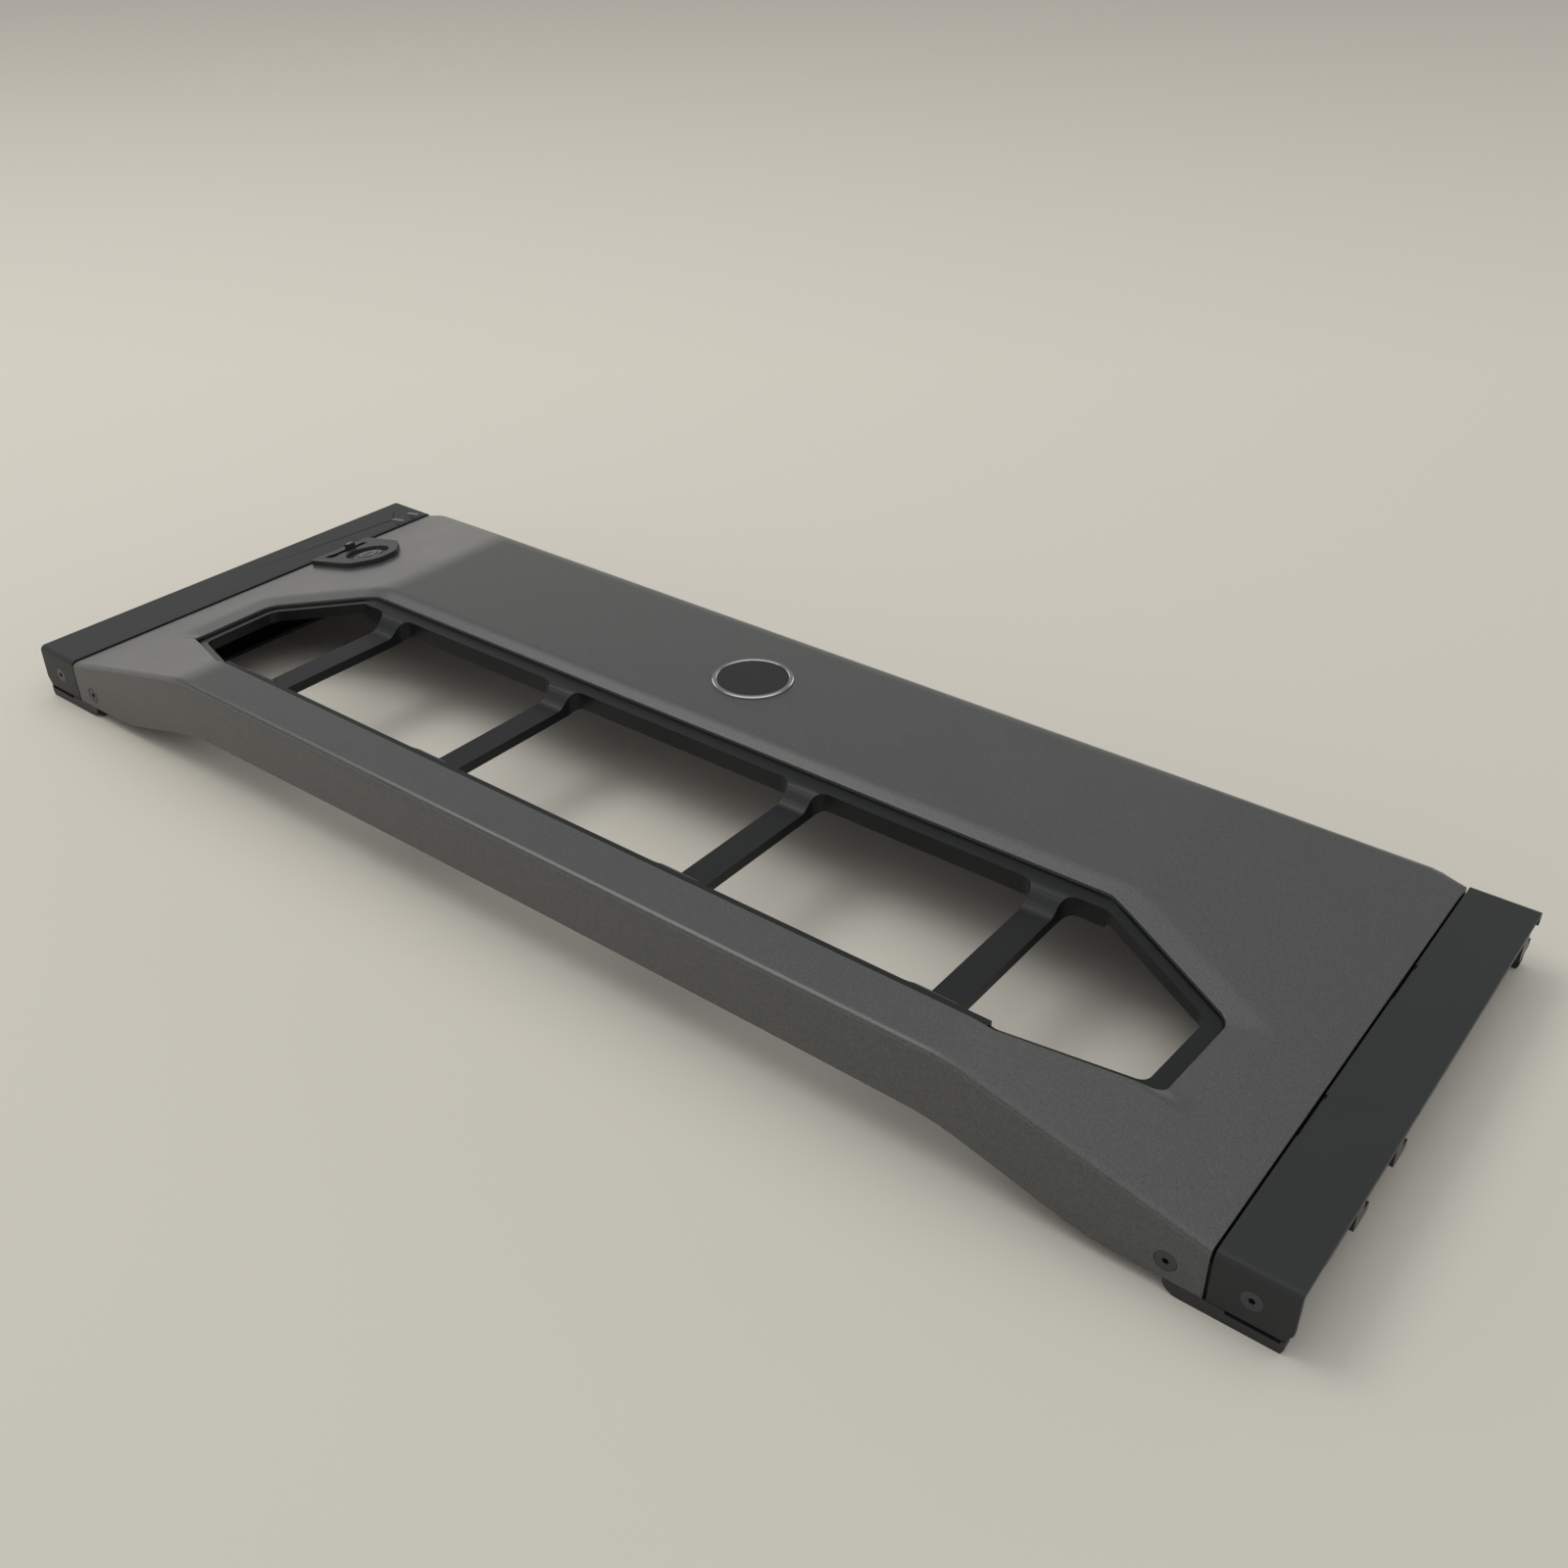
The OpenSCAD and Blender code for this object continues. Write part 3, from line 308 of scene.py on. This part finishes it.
def panel_skin():
    feet, out, ends = spokes()
    ends, angle, long_edge = end_bends(ends)
    rim_round = [0, 0.00005, 0.00016, 0.00034]
    rim_fall = [0.00034, 0.00016, 0.00004, 0]
    dish_rows = list(np.linspace(0.001, 0.0102, 11))
    top = face_places(feet, out, ends, rim_round + dish_rows, OUTER_ROWS)
    top_z = level(top[..., 0], top[..., 1])
    top_z[:, :4] -= np.array(rim_fall)[None, :]
    low = face_places(feet, out, ends, [0, 0.002, 0.004, 0.006, 0.0082, 0.0102], OUTER_ROWS // 2)
    low_z = level(low[..., 0], low[..., 1])
    normals = level_normal(low[..., 0], low[..., 1])
    under = np.concatenate([low, low_z[..., None]], -1) - normals * SHEET
    under[:, 0, :2] = feet
    on_long = long_edge.copy()
    skin = Skin()
    face = skin.add(np.concatenate([top, top_z[..., None]], -1))
    back_places = under.copy()
    inner = skirt_columns(ends, angle, True, SKIRT_ROWS)
    outer = skirt_columns(ends, angle, False, SKIRT_ROWS)
    back_places[on_long, -1] = inner[on_long, 0]
    at_end = ~on_long
    back_places[at_end, -1, :2] = ends[at_end]
    back = skin.add(back_places)
    skin.cover(face, closed=True, flip=True)
    skin.cover(back, closed=True)
    skin.cover(np.stack([face[:, 0], back[:, 0]], 1), closed=True)
    close_edges(skin, face, back, inner, outer, on_long)
    return skin


def close_edges(skin, face, back, inner, outer, on_long):
    """Skirts along the two long edges, and the sheet's cut edges all round."""
    corner_of = np.abs(np.abs(outer[:, 0, 0]) - PANEL_END) < 1e-6
    for side in (-1, 1):
        member = np.where(on_long & (np.sign(outer[:, 0, 1]) == side))[0]
        order = member[np.argsort(outer[member, 0, 0] * -side)]
        outside = skin.add(outer[order][:, 1:])
        inside = skin.add(inner[order][:, 1:])
        outside = np.concatenate([face[order, -1][:, None], outside], 1)
        inside = np.concatenate([back[order, -1][:, None], inside], 1)
        skin.cover(outside)
        skin.cover(inside, flip=True)
        skin.cover(np.stack([outside[:, -1], inside[:, -1]], 1))
        for end, turned in ((0, True), (-1, False)):
            skin.cover(np.stack([outside[end], inside[end]], 0), flip=turned)
    for sign in (-1, 1):
        member = np.where(((~on_long) | corner_of) & (np.sign(outer[:, 0, 0]) == sign)
                          & (np.abs(np.abs(outer[:, 0, 0]) - PANEL_END) < 1e-6))[0]
        order = member[np.argsort(outer[member, 0, 1] * sign)]
        skin.cover(np.stack([face[order, -1], back[order, -1]], 1))

def prism(bm, outline, low, high, place):
    """A closed prism over an outline, set in place by a matrix."""
    rings = [[bm.verts.new(place @ Vector((p[0], p[1], z))) for p in outline] for z in (low, high)]
    bm.faces.new(list(reversed(rings[0])))
    bm.faces.new(rings[1])
    count = len(outline)
    for i in range(count):
        j = (i + 1) % count
        bm.faces.new([rings[0][i], rings[0][j], rings[1][j], rings[1][i]])


def circle(radius, count, centre=(0, 0)):
    turns = [2 * math.pi * i / count for i in range(count)]
    return [(centre[0] + radius * math.cos(t), centre[1] + radius * math.sin(t)) for t in turns]


def lock_hole():
    """The hole in the left ramp that the lock plate's back stands in."""
    corners = [(-0.0191, -0.0091, 0.002), (0.003, -0.0101, 0.007), (0.0121, -0.0041, 0.005),
               (0.0115, 0.003, 0.005), (0.001, 0.0111, 0.007), (-0.0191, 0.0127, 0.002)]
    points = [Vector(c[:2]) for c in corners]
    outline = []
    for i, c in enumerate(corners):
        outline += corner_arc(points[i - 1], points[i], points[(i + 1) % len(points)], c[2], 5)
    return outline


def lock_place():
    """The lock's own axes: x up the left ramp, z square to it."""
    at = Vector((LOCK_X, LOCK_Y, FACE_Z - (-LOCK_X - CREST_X) * math.tan(RAMP)))
    return Matrix.Translation(at) @ Matrix.Rotation(-RAMP, 4, "Y")


def cutters():
    """Everything that is cut from the formed sheet: screw holes, the lock's hole and the badge's."""
    bm = bmesh.new()
    for sx in (-1, 1):
        for sy in (-1, 1):
            at = Vector((sx * (HALF_W - SCREW_X), sy * HALF_D, SCREW_Z))
            turn = Matrix.Translation(at) @ Matrix.Rotation(math.pi / 2, 4, "X")
            prism(bm, circle(SCREW_HOLE_R, 40), -0.003, 0.003, turn)
        prism(bm, circle(0.0012, 16, (sx * BADGE_PIN[0], BADGE_PIN[1])), FACE_Z - 0.003, FACE_Z + 0.001,
              Matrix.Identity(4))
    prism(bm, lock_hole(), -0.005, 0.005, lock_place())
    for place in PLATE_SCREWS:
        prism(bm, circle(0.0012, 16, place), -0.005, 0.005, lock_place())
    bmesh.ops.recalc_face_normals(bm, faces=bm.faces)
    mesh = bpy.data.meshes.new("cutters")
    bm.to_mesh(mesh)
    bm.free()
    return new_object("cutters", mesh)


def add_bosses(mesh):
    """Tubes behind the face that the frame's screws go into."""
    low_y = RIM_LOW - 0.0053
    high_y = RIM_HIGH + 0.0074
    seat = FACE_Z - DISH_DROP - SHEET - 0.0001 - 0.0039
    bm = bmesh.new()
    bm.from_mesh(mesh)
    for x in (-0.1343, -0.0502, 0.0502, 0.1343):
        for y in (low_y, high_y):
            tops = FACE_Z - SHEET + 0.0002
            rings = [[bm.verts.new((cx, cy, z)) for cx, cy in circle(r, 32, (x, y))]
                     for r, z in ((BOSS_R, tops), (BOSS_R, seat), (BOSS_BORE_R, seat), (BOSS_BORE_R, tops))]
            for a, b in zip(rings, rings[1:] + rings[:1]):
                for i in range(32):
                    j = (i + 1) % 32
                    bm.faces.new([a[j], a[i], b[i], b[j]])
    bm.to_mesh(mesh)
    bm.free()


def set_formed_normals(mesh):
    """Smooth shading from the face's own formula, and from the mesh elsewhere."""
    mesh.shade_smooth()
    mesh.set_sharp_from_angle(angle=math.radians(35))
    count = len(mesh.loops)
    corner = np.zeros(count * 3)
    mesh.corner_normals.foreach_get("vector", corner)
    corner = corner.reshape(-1, 3)
    places = np.zeros(len(mesh.vertices) * 3)
    mesh.vertices.foreach_get("co", places)
    which = np.zeros(count, int)
    mesh.loops.foreach_get("vertex_index", which)
    at = places.reshape(-1, 3)[which]
    formed = level_normal(at[:, 0], at[:, 1])
    flat = np.abs(at[:, 1]) < HALF_D - EDGE_R
    on_face = flat & (np.abs(at[:, 2] - level(at[:, 0], at[:, 1])) < 0.00002) & (corner[:, 2] > 0.6)
    corner[on_face] = formed[on_face]
    mesh.normals_split_custom_set(corner.tolist())


def make_spring():
    """Round-wire return spring, in place of the CAD's latch spring."""
    low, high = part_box("latch_spring")
    wire = SPRING_WIRE / 2
    coil = (high.x - low.x) / 2 - wire
    run = high.y - low.y - SPRING_WIRE
    t = np.linspace(0, 1, SPRING_TURNS * 32 + 1)[:, None]
    around = np.linspace(0, 2 * math.pi, 10)[None, :-1]
    reach = coil + wire * np.cos(around)
    turn = 2 * math.pi * SPRING_TURNS * t
    places = np.stack([(low.x + high.x) / 2 + reach * np.cos(turn),
                       low.y + wire + run * t + wire * np.sin(around),
                       (low.z + high.z) / 2 - reach * np.sin(turn)], -1)
    skin = Skin()
    ids = skin.add(places)
    skin.cover(np.concatenate([ids, ids[:, :1]], 1))
    mesh = skin.mesh("return_spring")
    bm = bmesh.new()
    bm.from_mesh(mesh)
    bmesh.ops.holes_fill(bm, edges=[e for e in bm.edges if e.is_boundary])
    bmesh.ops.recalc_face_normals(bm, faces=bm.faces)
    bm.to_mesh(mesh)
    bm.free()
    mesh.shade_smooth()
    mesh.materials.append(MATERIALS["spring_steel"])
    spring = new_object("return_spring", mesh)
    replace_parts(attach(spring, "bezel"), "latch_spring")
    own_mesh(spring)


def make_panel():
    """The formed sheet, which stands for the CAD's faceted one."""
    mesh = panel_skin().mesh("formed_panel")
    bm = bmesh.new()
    bm.from_mesh(mesh)
    bmesh.ops.recalc_face_normals(bm, faces=bm.faces)
    bm.to_mesh(mesh)
    bm.free()
    panel = new_object("formed_panel", mesh)
    tool = cutters()
    cut = panel.modifiers.new("holes", "BOOLEAN")
    cut.solver = "EXACT"
    cut.object = tool
    ready = bpy.data.meshes.new_from_object(panel.evaluated_get(bpy.context.evaluated_depsgraph_get()))
    panel.modifiers.clear()
    panel.data = ready
    bpy.data.objects.remove(tool)
    add_bosses(ready)
    set_formed_normals(ready)
    ready.materials.clear()
    ready.materials.append(MATERIALS["grey_paint"])
    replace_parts(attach(panel, "bezel"), "front_panel")
    return panel


# ---- Materials ----

def new_material(name, base, roughness, metallic=0.0, specular=0.5, coat=0.0):
    """A Principled material whose even values sit on the shader's own sockets."""
    material = bpy.data.materials.new(name)
    material.use_nodes = True
    shader = material.node_tree.nodes["Principled BSDF"]
    shader.inputs["Base Color"].default_value = (*base, 1)
    shader.inputs["Roughness"].default_value = roughness
    shader.inputs["Metallic"].default_value = metallic
    shader.inputs["Specular IOR Level"].default_value = specular
    shader.inputs["Coat Weight"].default_value = coat
    return material, shader


def noise(material, scale, detail=3.0, stretch=(1, 1, 1)):
    """Noise fixed to the object, at a scale in features to the metre."""
    nodes, links = material.node_tree.nodes, material.node_tree.links
    place = nodes.new("ShaderNodeTexCoord")
    mapping = nodes.new("ShaderNodeMapping")
    mapping.inputs["Scale"].default_value = stretch
    links.new(place.outputs["Object"], mapping.inputs["Vector"])
    texture = nodes.new("ShaderNodeTexNoise")
    texture.inputs["Scale"].default_value = scale
    texture.inputs["Detail"].default_value = detail
    links.new(mapping.outputs["Vector"], texture.inputs["Vector"])
    return texture


def add_bump(material, shader, texture, strength, depth):
    """Bump from a texture, with its depth in metres."""
    bump = material.node_tree.nodes.new("ShaderNodeBump")
    bump.inputs["Strength"].default_value = strength
    bump.inputs["Distance"].default_value = depth
    material.node_tree.links.new(texture.outputs["Fac"], bump.inputs["Height"])
    material.node_tree.links.new(bump.outputs["Normal"], shader.inputs["Normal"])


def vary(material, socket, texture, low, high):
    """Drives a socket from a texture, between two values or two colours."""
    nodes, links = material.node_tree.nodes, material.node_tree.links
    if isinstance(low, tuple):
        ramp = nodes.new("ShaderNodeValToRGB")
        ramp.color_ramp.elements[0].position = 0.3
        ramp.color_ramp.elements[1].position = 0.7
        ramp.color_ramp.elements[0].color = (*low, 1)
        ramp.color_ramp.elements[1].color = (*high, 1)
        links.new(texture.outputs["Fac"], ramp.inputs["Fac"])
        links.new(ramp.outputs["Color"], socket)
        return
    spread = nodes.new("ShaderNodeMapRange")
    spread.inputs["To Min"].default_value = low
    spread.inputs["To Max"].default_value = high
    links.new(texture.outputs["Fac"], spread.inputs["Value"])
    links.new(spread.outputs["Result"], socket)


def shade(base, gain):
    return tuple(channel * gain for channel in base)


def fine_finish(name, base, roughness, grain, depth, metallic=0.0, specular=0.5, cloud=0.06):
    """Fine grain in bump and gloss, with faint cloudiness in the colour."""
    material, shader = new_material(name, base, roughness, metallic, specular)
    fine = noise(material, grain, 2.0)
    add_bump(material, shader, fine, 0.35, depth)
    vary(material, shader.inputs["Roughness"], fine, roughness - 0.06, roughness + 0.06)
    clouds = noise(material, 45, 4.0)
    vary(material, shader.inputs["Base Color"], clouds, shade(base, 1 - cloud), shade(base, 1 + cloud))
    return material


def grey_paint():
    """Grey paint with metal flake: a fine speckle over slow clouds, and a light orange peel."""
    base = (0.05, 0.0515, 0.0505)
    material, shader = new_material("grey_paint", base, 0.36, 0.0, 0.75)
    flake = noise(material, 1900, 1.0)
    vary(material, shader.inputs["Base Color"], flake, shade(base, 0.72), shade(base, 1.3))
    vary(material, shader.inputs["Roughness"], noise(material, 60, 4.0), 0.31, 0.39)
    add_bump(material, shader, noise(material, 1100, 2.0), 0.3, 0.00003)
    return material


def cap_plastic():
    return fine_finish("cap_plastic", (0.0125, 0.0145, 0.0155), 0.48, 3800, 0.00005, specular=0.38)


def frame_plastic():
    return fine_finish("frame_plastic", (0.0045, 0.0058, 0.0066), 0.4, 3200, 0.00005, specular=0.3)


def black_steel():
    return fine_finish("black_steel", (0.014, 0.015, 0.017), 0.5, 2200, 0.00004, specular=0.5)


def zinc_steel():
    return fine_finish("zinc_steel", (0.075, 0.078, 0.082), 0.4, 900, 0.00002, metallic=1.0, cloud=0.12)


def screw_steel():
    return fine_finish("screw_steel", (0.4, 0.4, 0.41), 0.3, 1500, 0.00002, metallic=1.0)


def black_screw():
    return fine_finish("black_screw", (0.07, 0.075, 0.085), 0.3, 1500, 0.00002, metallic=0.8)


def lock_metal():
    return fine_finish("lock_metal", (0.07, 0.072, 0.075), 0.36, 1400, 0.00003, metallic=0.85, cloud=0.12)


def polished_metal():
    return fine_finish("polished_metal", (0.62, 0.63, 0.64), 0.16, 1200, 0.00001, metallic=1.0, cloud=0.03)


def badge_plastic():
    return fine_finish("badge_plastic", (0.012, 0.012, 0.014), 0.22, 600, 0.00001, cloud=0.05)


def latch_plastic():
    return fine_finish("latch_plastic", (0.012, 0.013, 0.015), 0.32, 3000, 0.00003)


def white_nylon():
    return fine_finish("white_nylon", (0.62, 0.61, 0.56), 0.5, 1500, 0.00003)


def spring_steel():
    return fine_finish("spring_steel", (0.45, 0.45, 0.46), 0.28, 1500, 0.00001, metallic=1.0)


def lens_plastic():
    return fine_finish("lens_plastic", (0.12, 0.13, 0.13), 0.25, 900, 0.00001, cloud=0.1)


MAKERS = (grey_paint, cap_plastic, frame_plastic, black_steel, zinc_steel, screw_steel, black_screw,
          lock_metal, polished_metal, badge_plastic, latch_plastic, white_nylon, spring_steel, lens_plastic)
MATERIALS = {make.__name__: make() for make in MAKERS}

FINISH = {
    "front_panel": "grey_paint", "window_frame": "frame_plastic",
    "left_end_cap": "cap_plastic", "right_end_cap": "cap_plastic",
    "left_base_rail": "black_steel", "right_base_rail": "black_steel",
    "right_hook_plate": "zinc_steel", "badge_ring": "polished_metal", "badge_disc": "badge_plastic",
    "badge_clips": "screw_steel", "lock_plate": "cap_plastic", "lock_plate_screws": "screw_steel",
    "lock_body": "lock_metal", "lock_nut": "zinc_steel", "lock_plug": "lock_metal",
    "lock_cam": "zinc_steel", "cam_screw": "screw_steel", "release_slider": "latch_plastic",
    "slider_screws": "screw_steel", "latch_bar": "zinc_steel", "guide_screws": "screw_steel",
    "guide_spacers": "white_nylon", "latch_spring": "spring_steel",
    "indicator_lenses": "lens_plastic", "cap_screws": "black_screw", "panel_screws": "black_screw",
    "frame_screws": "screw_steel",
}
SOFT_EDGES = {
    "left_end_cap": 0.0003, "right_end_cap": 0.0003, "window_frame": 0.00035, "lock_plate": 0.0003,
    "left_base_rail": 0.0002, "right_base_rail": 0.0002, "release_slider": 0.00025,
    "lock_body": 0.00015, "right_hook_plate": 0.0002, "latch_bar": 0.0002,
}


def dress_nodes():
    """Gives every CAD node its finish, and the larger ones a softened edge."""
    for name, node in NODES.items():
        node.data.materials.clear()
        node.data.materials.append(MATERIALS[FINISH[name]])
        if name in SOFT_EDGES:
            weld = node.modifiers.new("weld", "WELD")
            weld.merge_threshold = 0.00001
            bevel = node.modifiers.new("edges", "BEVEL")
            bevel.width = SOFT_EDGES[name]
            bevel.segments = 2
            bevel.limit_method = "ANGLE"
            bevel.angle_limit = math.radians(38)
            bevel.harden_normals = True


# ---- Floor, light and camera ----

# Floor colours that carry painted light: brightest in the middle, painted shade towards the far end.
FLOOR_NEAR = (0.62, 0.6, 0.54, 1)
FLOOR_MIDDLE = (0.68, 0.645, 0.57, 1)
FLOOR_FAR = (0.52, 0.48, 0.43, 1)
WALL = (0.44, 0.41, 0.37, 1)
SKY_STRENGTH = 1.0
KEY_POWER = 7

def stage_material():
    """Pale warm grey with painted light: it changes a little from the front of the floor to its far end,
    lightest in the middle, painted shade far off.
    """
    material, shader = new_material("stage", (0.6, 0.58, 0.54), 0.8, specular=0.2)
    nodes, links = material.node_tree.nodes, material.node_tree.links
    place = nodes.new("ShaderNodeTexCoord")
    along = nodes.new("ShaderNodeVectorMath")
    along.operation = "DOT_PRODUCT"
    along.inputs[1].default_value = (-0.61, 0.79, 0)
    links.new(place.outputs["Object"], along.inputs[0])
    spread = nodes.new("ShaderNodeMapRange")
    spread.inputs["From Min"].default_value = -0.3
    spread.inputs["From Max"].default_value = 2.2
    links.new(along.outputs["Value"], spread.inputs["Value"])
    ramp = nodes.new("ShaderNodeValToRGB")
    stops = ramp.color_ramp.elements
    stops[0].position, stops[0].color = 0.0, FLOOR_NEAR
    stops[1].position, stops[1].color = 1.0, FLOOR_FAR
    middle = stops.new(0.3)
    middle.color = FLOOR_MIDDLE
    links.new(spread.outputs["Result"], ramp.inputs["Fac"])
    links.new(ramp.outputs["Color"], shader.inputs["Base Color"])
    return material


def make_stage():
    """A wide plain floor."""
    mesh = bpy.data.meshes.new("floor")
    reach = 8
    mesh.from_pydata([(-reach, -reach, 0), (reach, -reach, 0), (reach, reach, 0), (-reach, reach, 0)], [],
                     [(0, 1, 2, 3)])
    mesh.materials.append(stage_material())
    new_object("floor", mesh)


def area_light(name, place, target, size, power, colour=(1, 1, 1)):
    lamp = bpy.data.lights.new(name, "AREA")
    lamp.shape = "RECTANGLE"
    lamp.size, lamp.size_y = size
    lamp.energy = power
    lamp.color = colour
    thing = bpy.data.objects.new(name, lamp)
    thing.location = place
    thing.rotation_mode = "QUATERNION"
    thing.rotation_quaternion = (Vector(target) - Vector(place)).to_track_quat("-Z", "Y")
    bpy.context.scene.collection.objects.link(thing)


def make_world():
    """Soft light from all round, brightest low down where the room's pale walls are."""
    world = bpy.data.worlds.new("world")
    world.use_nodes = True
    nodes, links = world.node_tree.nodes, world.node_tree.links
    place = nodes.new("ShaderNodeTexCoord")
    split = nodes.new("ShaderNodeSeparateXYZ")
    links.new(place.outputs["Generated"], split.inputs["Vector"])
    ramp = nodes.new("ShaderNodeValToRGB")
    stops = ramp.color_ramp.elements
    stops[0].position, stops[0].color = 0.25, (1, 0.98, 0.94, 1)
    stops[1].position, stops[1].color = 0.78, (1, 1, 0.99, 1)
    for position in (0.42, 0.58):
        stops.new(position).color = (0.22, 0.225, 0.23, 1)
    links.new(split.outputs["Z"], ramp.inputs["Fac"])
    sky = nodes["Background"]
    sky.inputs["Strength"].default_value = SKY_STRENGTH
    links.new(ramp.outputs["Color"], sky.inputs["Color"])
    seen = nodes.new("ShaderNodeBackground")
    seen.inputs["Color"].default_value = WALL
    rays = nodes.new("ShaderNodeLightPath")
    pick = nodes.new("ShaderNodeMixShader")
    links.new(rays.outputs["Is Camera Ray"], pick.inputs["Fac"])
    links.new(sky.outputs["Background"], pick.inputs[1])
    links.new(seen.outputs["Background"], pick.inputs[2])
    links.new(pick.outputs["Shader"], nodes["World Output"].inputs["Surface"])
    bpy.context.scene.world = world


def make_lights():
    area_light("key", (-0.9, -0.2, 1.5), (0, 0, 0), (1.0, 0.8), KEY_POWER, (1, 0.985, 0.96))
    make_world()


def make_camera():
    """A 36.8 mm lens from above the right front, as high as it is far out."""
    lens = bpy.data.cameras.new("camera")
    lens.sensor_width = 36
    lens.lens = 36.83
    lens.clip_start = 0.01
    camera = bpy.data.objects.new("camera", lens)
    right = Vector((0.7909, 0.6120, -0.0018))
    up = Vector((-0.3288, 0.4274, 0.8422))
    back = right.cross(up)
    turn = Matrix((right, up, back)).transposed().to_quaternion()
    camera.rotation_mode = "QUATERNION"
    camera.rotation_quaternion = turn.normalized()
    camera.location = (0.29334, -0.33024, 0.29289)
    bpy.context.scene.collection.objects.link(camera)
    bpy.context.scene.camera = camera


dress_nodes()
make_panel()
make_spring()
make_stage()
make_lights()
make_camera()
bpy.context.scene.view_settings.view_transform = "Standard"

bpy.context.view_layer.update()
